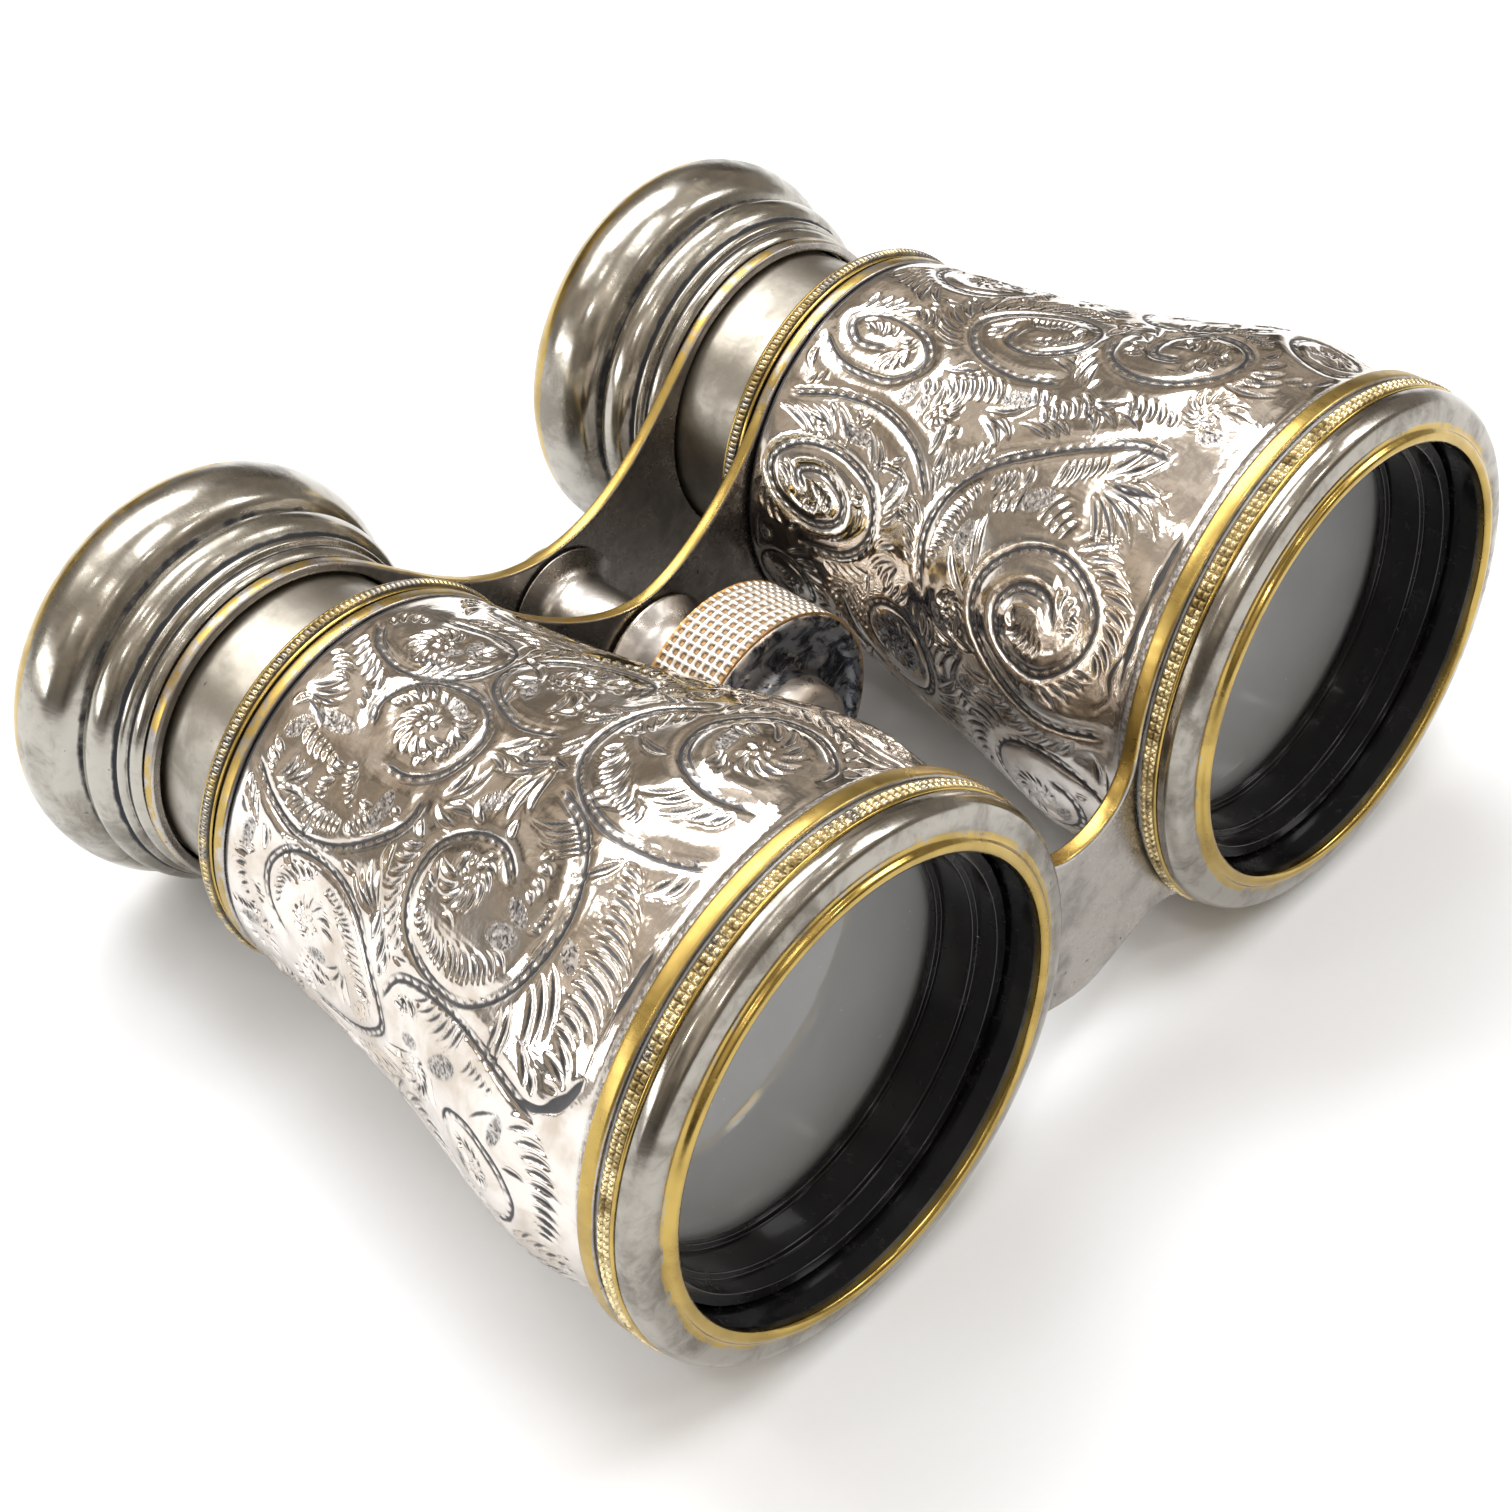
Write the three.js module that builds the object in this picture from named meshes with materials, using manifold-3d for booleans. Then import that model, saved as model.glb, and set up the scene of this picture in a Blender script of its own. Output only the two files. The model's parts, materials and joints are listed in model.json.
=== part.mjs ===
// Silver-plated opera glasses: two waisted barrels, three bridge plates and a centre focusing wheel.
// Millimetres. The design is drawn with its optical axes level: objectives face -Y, eyepieces face +Y,
// X runs across and Z is up. The last group tips it so that it lies on its rims on the plane Z = 0.
import * as THREE from "three";
import Module from "manifold-3d";

const wasm = await Module();
wasm.setup();

// ---------- driving dimensions ----------
const EYE_SPACING = 62; // between the two optical axes
const FINE = 40; // facets round the large turned parts
const MEDIUM = 32;
const COARSE = 26;
const GAP = 0.3; // left between pieces that touch on the real object

// stations along the optical axis, from the front lip
const LIP_FRONT = 0;
const KNURL_FRONT = 3.0;
const KNURL_BACK = 4.45;
const FRONT_PLATE = [4.75, 6.4];
const SHEATH = [6.7, 54.8];
const REAR_PLATE = [55.1, 56.4];
const END_COLLAR = [56.7, 58.6];
const EYE_PLATE = [67.5, 68.8];
const EYECUP_FRONT = 69.1;
const EYECUP_WIDEST = 81;
const EYECUP_BACK = 84.2;

// radii about each optical axis
const LIP_BORE = 20.05;
const CELL_BORE = 20.3;
const CELL_SPIGOT = 21.4;
const KNURL_RADIUS = 24.5;
const FRONT_RING_RADIUS = 24.6;
const FRONT_RING_BORE = 22.9;
const REAR_RING_RADIUS = 17.7;
const REAR_RING_BORE = 16.8;
const EYE_RING_RADIUS = 15.5;
const DRAW_TUBE = [13.6, 14.2];
const EYECUP_RADIUS = 19.8;
const SHEATH_WALL = 0.7;
const BODY_WALL = 0.6;
const OBJECTIVE_RADIUS = 19.6;
const OBJECTIVE_CLEAR = 17.65;
const EYE_LENS_RADIUS = 8;

// the focusing gear, on its own axis midway between the barrels and a little below them
const GEAR_AXIS_Z = -7.25;
const WHEEL = { front: 39.2, back: 47.2, radius: 11.5, rim: 1.4, disc: 2.0, hub: 5.8, hubFront: 35.8 };
const SPINDLE_RADIUS = 1.5;
const SPINDLE = [37.4, 61];
const HOUSING = { front: 41.5, back: 56.7, radius: 5.2, bore: 4.5, wall: 1.3 };
const NUT = { front: 53.4, back: 69.9, radius: 4.2, bore: 1.8, flare: 6.4, flareLength: 1.7 };

// outer profile of the barrel: a shoulder behind the front ring, then a waist towards the eye end
const BARREL = new THREE.SplineCurve(
  [[6.7, 23.4], [9, 23.2], [14.5, 24.05], [19, 23.6], [30, 21], [42, 18.85], [54.8, 17.55]].map(
    ([y, r]) => new THREE.Vector2(y, r),
  ),
);
const BARREL_STEPS = 9;

// ---------- materials ----------
const metal = (color, roughness) => new THREE.MeshStandardMaterial({ color, roughness, metalness: 1 });
const silver = metal(0xb9b1a8, 0.3);
const engravedSilver = metal(0xc9c0b8, 0.22);
const brass = metal(0xb8923a, 0.3);
const tarnished = metal(0x54545a, 0.5);
const steel = metal(0x8a8a8c, 0.4);
const blackLacquer = new THREE.MeshStandardMaterial({ color: 0x111112, roughness: 0.35 });
const felt = new THREE.MeshStandardMaterial({ color: 0x2c2420, roughness: 0.95 });
const glass = new THREE.MeshStandardMaterial({ color: 0x9fa4a6, roughness: 0.05, transparent: true, opacity: 0.4 });

// ---------- building blocks ----------
const assembly = new THREE.Group();

function add(name, geometry, material, x = 0, z = 0) {
  const mesh = new THREE.Mesh(geometry, material);
  mesh.name = name;
  mesh.position.set(x, 0, z);
  assembly.add(mesh);
}

// Turned solid about the Y axis. The profile is [radius, station] pairs, listed once round the section.
function turned(profile, facets) {
  const points = profile.map(([r, y]) => new THREE.Vector2(r, y));
  const onAxis = points[0].x === 0 && points.at(-1).x === 0;
  if (!onAxis) points.push(points[0].clone());
  const area = points.reduce((sum, p, i) => {
    const q = points[(i + 1) % points.length];
    return sum + p.x * q.y - q.x * p.y;
  }, 0);
  if (area < 0) points.reverse();
  const lathe = new THREE.LatheGeometry(points, facets);
  return lathe.rotateY(Math.PI / facets);
}

function tube(inner, outer, from, to, facets) {
  return turned([[inner, from], [outer, from], [outer, to], [inner, to]], facets);
}

// Points along the barrel profile, moved inwards by a wall thickness.
function barrelLine(inset, from = SHEATH[0], to = SHEATH[1]) {
  const line = BARREL.getSpacedPoints(BARREL_STEPS).map((p) => [p.y - inset, p.x]);
  line[0][1] = from;
  line[BARREL_STEPS][1] = to;
  return line;
}

// ---------- barrels ----------
function engravedSheath() {
  const outside = barrelLine(0);
  const inside = barrelLine(SHEATH_WALL).reverse();
  return turned([...outside, ...inside], FINE);
}

function bodyTube() {
  const outer = SHEATH_WALL + GAP;
  const outside = barrelLine(outer);
  const inside = barrelLine(outer + BODY_WALL).reverse();
  const frontOuter = FRONT_RING_BORE - GAP;
  const frontInner = CELL_SPIGOT + GAP;
  const backOuter = REAR_RING_BORE - GAP;
  const backInner = backOuter - BODY_WALL;
  const backEnd = END_COLLAR[0] + 0.6;
  return turned(
    [
      [frontOuter, FRONT_PLATE[0]],
      ...outside,
      [backOuter, REAR_PLATE[0]],
      [backOuter, backEnd],
      [backInner, backEnd],
      [backInner, SHEATH[1]],
      ...inside.slice(1, -2),
      [frontInner, 10.5],
      [frontInner, FRONT_PLATE[0]],
    ],
    MEDIUM,
  );
}

function objectiveCell() {
  const lipOuter = 22.1;
  const collar = 24.0;
  const seatFront = 16.4;
  const seatBack = 17.4;
  return turned(
    [
      [LIP_BORE, 0.25],
      [LIP_BORE + 0.3, LIP_FRONT],
      [lipOuter - 0.3, LIP_FRONT],
      [lipOuter, 0.35],
      [lipOuter + 0.1, 0.8],
      [23.3, 1.15],
      [collar, 1.9],
      [collar, 2.6],
      [KNURL_RADIUS - 0.25, KNURL_FRONT],
      [KNURL_RADIUS, KNURL_FRONT + 0.25],
      [KNURL_RADIUS, KNURL_BACK],
      [CELL_SPIGOT, KNURL_BACK],
      [CELL_SPIGOT, 9.6],
      [21.0, 10],
      [21.0, seatBack],
      [OBJECTIVE_CLEAR, seatBack],
      [OBJECTIVE_CLEAR, seatFront],
      [CELL_BORE, seatFront],
    ],
    FINE,
  );
}

// Black ring that holds the objective in its cell; its bore comes down in three steps.
function retainingRing() {
  const outer = CELL_BORE - GAP;
  return turned(
    [
      [18.9, 3.8],
      [outer, 3.8],
      [outer, 9.6],
      [OBJECTIVE_CLEAR, 9.6],
      [OBJECTIVE_CLEAR, 9.0],
      [18.27, 9.0],
      [18.27, 5.8],
      [18.9, 5.8],
    ],
    MEDIUM,
  );
}

// A lens between two domed faces: sag > 0 bulges the face outwards.
function lens(radius, from, to, frontSag, backSag) {
  const rings = 4;
  const face = (edge, sag) =>
    Array.from({ length: rings + 1 }, (_, i) => {
      const r = (radius * i) / rings;
      return [r, edge + sag * (1 - (r / radius) ** 2)];
    });
  return turned([...face(from, -frontSag), ...face(to, backSag).reverse()], COARSE);
}

function baffle() {
  return tube(12.5, 18.9, 29.5, 30.1, COARSE);
}

function endCollar() {
  const outer = 18.0;
  const hole = DRAW_TUBE[1] + GAP;
  const socket = REAR_RING_BORE;
  const wallFront = END_COLLAR[0] + 0.9;
  return turned(
    [
      [socket, END_COLLAR[0]],
      [outer - 0.2, END_COLLAR[0]],
      [outer, END_COLLAR[0] + 0.3],
      [outer, END_COLLAR[1] - 0.5],
      [outer - 0.5, END_COLLAR[1]],
      [hole, END_COLLAR[1]],
      [hole, wallFront],
      [socket, wallFront],
    ],
    FINE,
  );
}

function guideBush() {
  const outer = REAR_RING_BORE - GAP - BODY_WALL - GAP;
  return tube(DRAW_TUBE[1] + GAP, outer, 49.5, 57, COARSE);
}

// ---------- eyepieces ----------
const drawTube = () => tube(DRAW_TUBE[0], DRAW_TUBE[1], 44.5, 70.8, MEDIUM);

function eyecup() {
  const socket = DRAW_TUBE[1] + GAP;
  const ringSeat = 74.2;
  return turned(
    [
      [socket, EYECUP_FRONT],
      [15.6, EYECUP_FRONT],
      [16.2, 70],
      [16.1, 70.9],
      [17.2, 72],
      [17.6, 73.4],
      [17.2, 74.8],
      [16.9, 75.4],
      [18.3, 76.8],
      [19.4, 78.8],
      [EYECUP_RADIUS, EYECUP_WIDEST],
      [19.4, 82.9],
      [18.3, EYECUP_BACK],
      [16.6, EYECUP_BACK - 0.4],
      [13.5, 81],
      [9.4, 78.6],
      [EYE_LENS_RADIUS + GAP, 78.2],
      [EYE_LENS_RADIUS + GAP, ringSeat],
      [6.9, ringSeat],
      [6.9, 73.2],
      [socket - 1.5, 73.2],
      [socket, 72],
    ],
    FINE,
  );
}

const eyeLens = () => lens(EYE_LENS_RADIUS, 74.5, 76.7, -0.5, -0.7);
const eyeLensRing = () => tube(6.7, EYE_LENS_RADIUS, 77, 78.1, COARSE);

// ---------- bridge plates ----------
// Half of a plate edge, from the middle to where it runs into the ring at an angle off the horizontal.
function webEdge(middleZ, middleReach, ringRadius, angle, ringReach) {
  const side = Math.sign(angle);
  const a = THREE.MathUtils.degToRad(Math.abs(angle));
  const x = EYE_SPACING / 2 - ringRadius * Math.cos(a);
  const z = side * ringRadius * Math.sin(a);
  const pulled = [x - ringReach * Math.sin(a), z - side * ringReach * Math.cos(a)];
  return new THREE.CubicBezierCurve(
    new THREE.Vector2(0, middleZ),
    new THREE.Vector2(middleReach, middleZ),
    new THREE.Vector2(...pulled),
    new THREE.Vector2(x, z),
  ).getPoints(8);
}

// A plate with a ring round each barrel and a shaped web with a hole for the gear between them.
function bridgePlate({ ring, bore, stations, top, bottom, hole }) {
  const upper = webEdge(top.z, top.reach, ring, top.angle, top.ringReach);
  const lower = webEdge(bottom.z, bottom.reach, ring, bottom.angle, bottom.ringReach);
  const inRing = (angle) => {
    const a = THREE.MathUtils.degToRad(180 - angle);
    return new THREE.Vector2(EYE_SPACING / 2 + bore * Math.cos(a) * 1.02, bore * Math.sin(a) * 1.02);
  };
  const right = [...lower, inRing(bottom.angle), inRing(top.angle), ...upper.slice().reverse()];
  const left = right.slice(1, -1).reverse().map((p) => new THREE.Vector2(-p.x, p.y));
  const web = new THREE.Shape([...right, ...left]);
  const disc = (x, z, radius, facets) => {
    const circle = new THREE.Shape();
    for (let i = 0; i < facets; i++) {
      const a = ((i + 0.5) * 2 * Math.PI) / facets;
      const p = [x + radius * Math.cos(a), z + radius * Math.sin(a)];
      if (i) circle.lineTo(...p);
      else circle.moveTo(...p);
    }
    return circle;
  };
  const rims = [-1, 1].map((side) => disc((side * EYE_SPACING) / 2, 0, ring, FINE));
  const bores = [-1, 1].map((side) => disc((side * EYE_SPACING) / 2, 0, bore, FINE));
  if (hole) bores.push(disc(0, GEAR_AXIS_Z, hole, COARSE));
  const solid = section([web, ...rims]).subtract(section(bores)).extrude(stations[1] - stations[0]);
  const plate = fromManifold(solid);
  return plate.rotateX(Math.PI / 2).translate(0, stations[1], 0);
}

function section(shapes) {
  const polygons = shapes.map((s) => {
    const points = s.extractPoints(1).shape;
    if (THREE.ShapeUtils.isClockWise(points)) points.reverse();
    return points.map((p) => [p.x, p.y]);
  });
  return new wasm.CrossSection(polygons, "Positive");
}

function fromManifold(solid) {
  const mesh = solid.getMesh();
  const positions = new THREE.BufferAttribute(Float32Array.from(mesh.vertProperties), mesh.numProp);
  return new THREE.BufferGeometry()
    .setAttribute("position", positions)
    .setIndex(new THREE.BufferAttribute(Uint32Array.from(mesh.triVerts), 1));
}

const frontBridge = () =>
  bridgePlate({
    ring: FRONT_RING_RADIUS,
    bore: FRONT_RING_BORE,
    stations: FRONT_PLATE,
    top: { z: -0.8, reach: 3.6, angle: 12, ringReach: 4 },
    bottom: { z: -17.4, reach: 4.5, angle: -45, ringReach: 6 },
  });

const rearBridge = () =>
  bridgePlate({
    ring: REAR_RING_RADIUS,
    bore: REAR_RING_BORE,
    stations: REAR_PLATE,
    hole: HOUSING.radius + GAP,
    top: { z: 0.1, reach: 5.5, angle: 37, ringReach: 6 },
    bottom: { z: -15.2, reach: 6, angle: -48, ringReach: 6 },
  });

const eyepieceBridge = () =>
  bridgePlate({
    ring: EYE_RING_RADIUS,
    bore: DRAW_TUBE[1] + GAP,
    stations: EYE_PLATE,
    hole: NUT.radius + GAP,
    top: { z: -0.4, reach: 9.5, angle: 52, ringReach: 8 },
    bottom: { z: -14.4, reach: 6, angle: -62, ringReach: 7 },
  });

// ---------- focusing gear ----------
function focusWheel() {
  const { front, back, radius, rim, disc, hub, hubFront } = WHEEL;
  const shaft = SPINDLE_RADIUS + GAP;
  const counterbore = 3.3;
  return turned(
    [
      [shaft, hubFront + 1.6],
      [counterbore, hubFront + 1.6],
      [counterbore, hubFront],
      [hub - 1.1, hubFront],
      [hub - 0.2, hubFront + 0.7],
      [hub, hubFront + 1.8],
      [hub + 0.2, front + 0.3],
      [radius - rim - 0.6, front + 0.3],
      [radius - rim, front],
      [radius - 0.4, front],
      [radius, front + 0.4],
      [radius, back - 0.4],
      [radius - 0.4, back],
      [radius - rim, back],
      [radius - rim, front + disc],
      [shaft, front + disc],
    ],
    FINE,
  );
}

// Screwed rod: round ridges stand for the thread that drives the nut.
function focusSpindle() {
  const ridge = 0.16;
  const pitch = 1.6;
  const threadStart = NUT.front - 3;
  const profile = [[0, SPINDLE[0]], [SPINDLE_RADIUS, SPINDLE[0]]];
  for (let y = threadStart; y < SPINDLE[1] - pitch; y += pitch) {
    profile.push([SPINDLE_RADIUS, y]);
    profile.push([SPINDLE_RADIUS - ridge, y + pitch / 2]);
  }
  profile.push([SPINDLE_RADIUS - ridge, SPINDLE[1]], [0, SPINDLE[1]]);
  return turned(profile, 16);
}

function wheelScrew() {
  const head = WHEEL.hubFront + 0.2;
  return turned(
    [[0, head - 0.5], [1.6, head - 0.35], [2.7, head + 0.1], [2.9, head + 0.5], [2.9, head + 1.1], [0, head + 1.1]],
    COARSE,
  );
}

// Fixed tube soldered through the rear bridge; its front wall carries the spindle.
function focusHousing() {
  const { front, back, radius, bore, wall } = HOUSING;
  const flange = REAR_PLATE[0] - GAP;
  return turned(
    [
      [SPINDLE_RADIUS + GAP, front],
      [radius, front],
      [radius, 50.5],
      [radius + 0.5, 53],
      [radius + 1.7, flange - 0.3],
      [radius + 1.7, flange],
      [radius, flange],
      [radius, back],
      [bore, back],
      [bore, front + wall],
      [SPINDLE_RADIUS + GAP, front + wall],
    ],
    COARSE,
  );
}

// The spindle turns in the housing wall between the wheel and this collar.
const spindleCollar = () => tube(SPINDLE_RADIUS + GAP, 3.4, HOUSING.front + HOUSING.wall + GAP, 44.2, COARSE);

function driveNut() {
  const { front, back, radius, bore, flare, flareLength } = NUT;
  const shoulder = EYE_PLATE[0] - GAP;
  return turned(
    [
      [bore, front],
      [radius, front],
      [radius, shoulder - flareLength],
      [radius + 0.5, shoulder - 0.9],
      [flare, shoulder],
      [radius, shoulder],
      [radius, back],
      [bore, back],
    ],
    COARSE,
  );
}

// Domed cap over the open end of the nut, behind the eyepiece bridge.
function nutCap() {
  const inner = NUT.radius + GAP;
  const outer = 5.6;
  return turned(
    [
      [0, NUT.back + GAP],
      [inner, NUT.back + GAP],
      [inner, EYECUP_FRONT],
      [outer, EYECUP_FRONT],
      [outer, 70.2],
      [4.4, 71.5],
      [2.2, 72.1],
      [0, 72.2],
    ],
    COARSE,
  );
}

// ---------- assembly ----------
for (const [side, direction] of [["left", -1], ["right", 1]]) {
  const x = (direction * EYE_SPACING) / 2;
  const crownFront = 9.9;
  const crownBack = 12.8;
  add(`${side}_engraved_sheath`, engravedSheath(), engravedSilver, x);
  add(`${side}_body_tube`, bodyTube(), blackLacquer, x);
  add(`${side}_objective_cell`, objectiveCell(), silver, x);
  add(`${side}_retaining_ring`, retainingRing(), blackLacquer, x);
  add(`${side}_objective_crown_lens`, lens(OBJECTIVE_RADIUS, crownFront + 0.5, crownBack, 0.4, 0.3), glass, x);
  add(`${side}_objective_flint_lens`, lens(OBJECTIVE_RADIUS, crownBack + 0.7, 16.1, -0.3, -0.3), glass, x);
  add(`${side}_light_baffle`, baffle(), blackLacquer, x);
  add(`${side}_end_collar`, endCollar(), brass, x);
  add(`${side}_guide_bush`, guideBush(), felt, x);
  add(`${side}_draw_tube`, drawTube(), silver, x);
  add(`${side}_eyecup`, eyecup(), silver, x);
  add(`${side}_eye_lens`, eyeLens(), glass, x);
  add(`${side}_eye_lens_ring`, eyeLensRing(), blackLacquer, x);
}
add("front_bridge", frontBridge(), silver);
add("rear_bridge", rearBridge(), silver);
add("eyepiece_bridge", eyepieceBridge(), silver);
add("focus_wheel", focusWheel(), tarnished, 0, GEAR_AXIS_Z);
add("focus_spindle", focusSpindle(), steel, 0, GEAR_AXIS_Z);
add("wheel_screw", wheelScrew(), silver, 0, GEAR_AXIS_Z);
add("focus_housing", focusHousing(), silver, 0, GEAR_AXIS_Z);
add("spindle_collar", spindleCollar(), steel, 0, GEAR_AXIS_Z);
add("drive_nut", driveNut(), silver, 0, GEAR_AXIS_Z);
add("nut_cap", nutCap(), silver, 0, GEAR_AXIS_Z);

// It lies on the front bridge's rings and on the eyecups, so the axes tip down towards the eye end.
const tilt = -Math.atan2(FRONT_RING_RADIUS - EYECUP_RADIUS, EYECUP_WIDEST - FRONT_PLATE[1]);
assembly.rotation.x = tilt;

const object = new THREE.Group();
object.add(assembly);
object.updateMatrixWorld(true);
const bounds = new THREE.Box3().setFromObject(object, true);
assembly.position.set(0, -(bounds.min.y + bounds.max.y) / 2, -bounds.min.z);

export default object;
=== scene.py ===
"""Looks for the opera glasses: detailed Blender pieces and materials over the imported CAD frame.

Every piece is drawn in the design frame (millimetres, optical axes level, station 0 at the front lips)
and DESIGN carries it into the row frame, which comes from the record's joints.
"""

import json
import math

import bpy
import numpy as np
from mathutils import Matrix, Vector


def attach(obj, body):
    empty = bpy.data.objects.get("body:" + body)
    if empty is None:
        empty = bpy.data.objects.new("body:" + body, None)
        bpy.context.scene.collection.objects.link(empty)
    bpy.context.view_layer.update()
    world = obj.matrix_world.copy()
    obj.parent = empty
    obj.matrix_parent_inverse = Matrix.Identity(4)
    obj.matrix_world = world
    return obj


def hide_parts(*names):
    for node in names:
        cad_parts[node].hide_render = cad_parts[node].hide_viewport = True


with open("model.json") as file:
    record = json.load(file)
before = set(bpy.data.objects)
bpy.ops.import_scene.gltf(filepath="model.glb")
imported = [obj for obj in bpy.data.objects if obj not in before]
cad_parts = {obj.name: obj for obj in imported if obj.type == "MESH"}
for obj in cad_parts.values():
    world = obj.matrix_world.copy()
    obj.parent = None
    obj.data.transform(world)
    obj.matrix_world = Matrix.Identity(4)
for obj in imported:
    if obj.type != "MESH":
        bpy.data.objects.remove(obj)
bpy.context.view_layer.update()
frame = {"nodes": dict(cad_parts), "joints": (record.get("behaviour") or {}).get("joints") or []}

# ---------- design frame ----------
MM = 0.001
SPACING = 62.0  # between the optical axes
GEAR_Z = -7.25  # the focusing gear's axis, below the optical axes
GEAR_STATION = 43.0  # the station of the record's hinge point
SIDES = {"left": -SPACING / 2, "right": SPACING / 2}

joints = {j["name"]: j for j in frame["joints"]}
along = Vector(joints["wheel_turn"]["axis"]).normalized()
across = Vector((1, 0, 0))
upward = across.cross(along)
hinge_point = Vector(joints["wheel_turn"]["pos_m"])
DESIGN = Matrix((across * MM, along * MM, upward * MM)).transposed().to_4x4()
DESIGN.translation = hinge_point - DESIGN.to_3x3() @ Vector((0, GEAR_STATION, GEAR_Z))


# ---------- mesh building ----------
FILLET_STEPS = 4  # segments in a rounded corner
PLAIN_CORNER = (0.1, 0)  # the fillet and wear of a corner that doesn't name them


def new_object(name, data):
    made = bpy.data.objects.new(name, data)
    bpy.context.scene.collection.objects.link(made)
    return made


def new_piece(name, vertices, faces, material, body, replaced=(), slot=None, attributes=None, sharp=35):
    """A smooth-shaded mesh drawn in the design frame, riding on a CAD body."""
    mesh = bpy.data.meshes.new(name)
    mesh.from_pydata(np.asarray(vertices, float).tolist(), [], faces)
    mesh.transform(DESIGN)
    mesh.update()
    mesh.shade_smooth()
    mesh.set_sharp_from_angle(angle=math.radians(sharp))
    for key, values in (attributes or {}).items():
        layer = mesh.attributes.new(key, "FLOAT", "POINT")
        layer.data.foreach_set("value", np.asarray(values, np.float32))
    mesh.materials.append(material)
    piece = new_object(name, mesh)
    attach(piece, body)
    if replaced:
        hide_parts(*replaced)
    return piece


def rounded(corners):
    """Rounds a closed section's corners: radius, station, and their fillet and wear where they matter."""
    points = []
    count = len(corners)
    for i, corner in enumerate(corners):
        r, y, fillet, wear = (*corner, *PLAIN_CORNER[len(corner) - 2 :])
        here = np.array([r, y], float)
        before = np.array(corners[i - 1][:2], float) - here
        after = np.array(corners[(i + 1) % count][:2], float) - here
        la, lb = np.linalg.norm(before), np.linalg.norm(after)
        reach = min(fillet, 0.45 * la, 0.45 * lb)
        if reach < 0.01:
            points.append((r, y, wear))
            continue
        start, end = here + before / la * reach, here + after / lb * reach
        for k in range(FILLET_STEPS + 1):
            t = k / FILLET_STEPS
            p = (1 - t) ** 2 * start + 2 * t * (1 - t) * here + t * t * end
            points.append((p[0], p[1], wear))
    return points


def ring_points(radii, stations, x, z):
    """The points of a grid of radii, one row for each station, round an axis along the design's Y."""
    columns = radii.shape[1]
    angles = np.arange(columns) * 2 * math.pi / columns
    y = np.repeat(np.asarray(stations)[:, None], columns, 1)
    return np.stack([x + radii * np.cos(angles), y, z + radii * np.sin(angles)], -1).reshape(-1, 3)


def grid_faces(rows, columns):
    """Quads over rows of points; each row is a closed ring, and the last row joins the first."""
    faces = []
    for j in range(rows):
        k = (j + 1) % rows
        for i in range(columns):
            n = (i + 1) % columns
            faces.append((j * columns + i, j * columns + n, k * columns + n, k * columns + i))
    return faces


def turned(name, corners, material, body, x=0.0, z=0.0, facets=128, **extra):
    """A turned ring or disc about the design's Y axis. Corners run once round the section."""
    section = rounded(corners)
    area = sum(
        a[0] * b[1] - b[0] * a[1] for a, b in zip(section, section[1:] + section[:1], strict=True)
    )
    if area < 0:
        section.reverse()
    radii, stations, wear = np.array(section, float).T
    vertices = ring_points(np.repeat(radii[:, None], facets, 1), stations, x, z)
    faces = grid_faces(len(section), facets)
    attributes = {"wear": np.repeat(wear, facets)}
    return new_piece(name, vertices, faces, material, body, attributes=attributes, **extra)


def turned_node(node, corners, material, body, slot="silver_plate", suffix="turned", **place):
    """A turned piece that stands in for one CAD node."""
    return turned(f"{node}_{suffix}", corners, material, body, replaced=[node], slot=slot, **place)


def lined_band(name, radii, stations, lining, material, body, x=0.0, z=0.0, **extra):
    """A band with a worked outer face, a grid of radii, and a plain lining of (radius, station) rows."""
    lining = np.array(lining)
    inner = np.repeat(lining[:, :1], radii.shape[1], 1)
    grid = np.vstack([radii, inner])
    vertices = ring_points(grid, np.r_[stations, lining[:, 1]], x, z)
    faces = [f[::-1] for f in grid_faces(*grid.shape)]
    return new_piece(name, vertices, faces, material, body, **extra)


def smooth_curve(points, count):
    """Catmull-Rom curve through given points."""
    p = np.array(points, float)
    p = np.vstack([2 * p[0] - p[1], p, 2 * p[-1] - p[-2]])
    spans = len(p) - 3
    out = []
    for t in np.linspace(0, spans - 1e-9, count):
        i = int(t)
        f = t - i
        a, b, c, d = p[i : i + 4]
        square = 2 * a - 5 * b + 4 * c - d
        cube = 3 * b - a - 3 * c + d
        out.append(0.5 * (2 * b + (c - a) * f + square * f**2 + cube * f**3))
    return np.array(out)


def bell(value, middle, width):
    """1 at the middle, falling off smoothly to both sides."""
    return np.exp(-(((value - middle) / width) ** 2))


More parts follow.
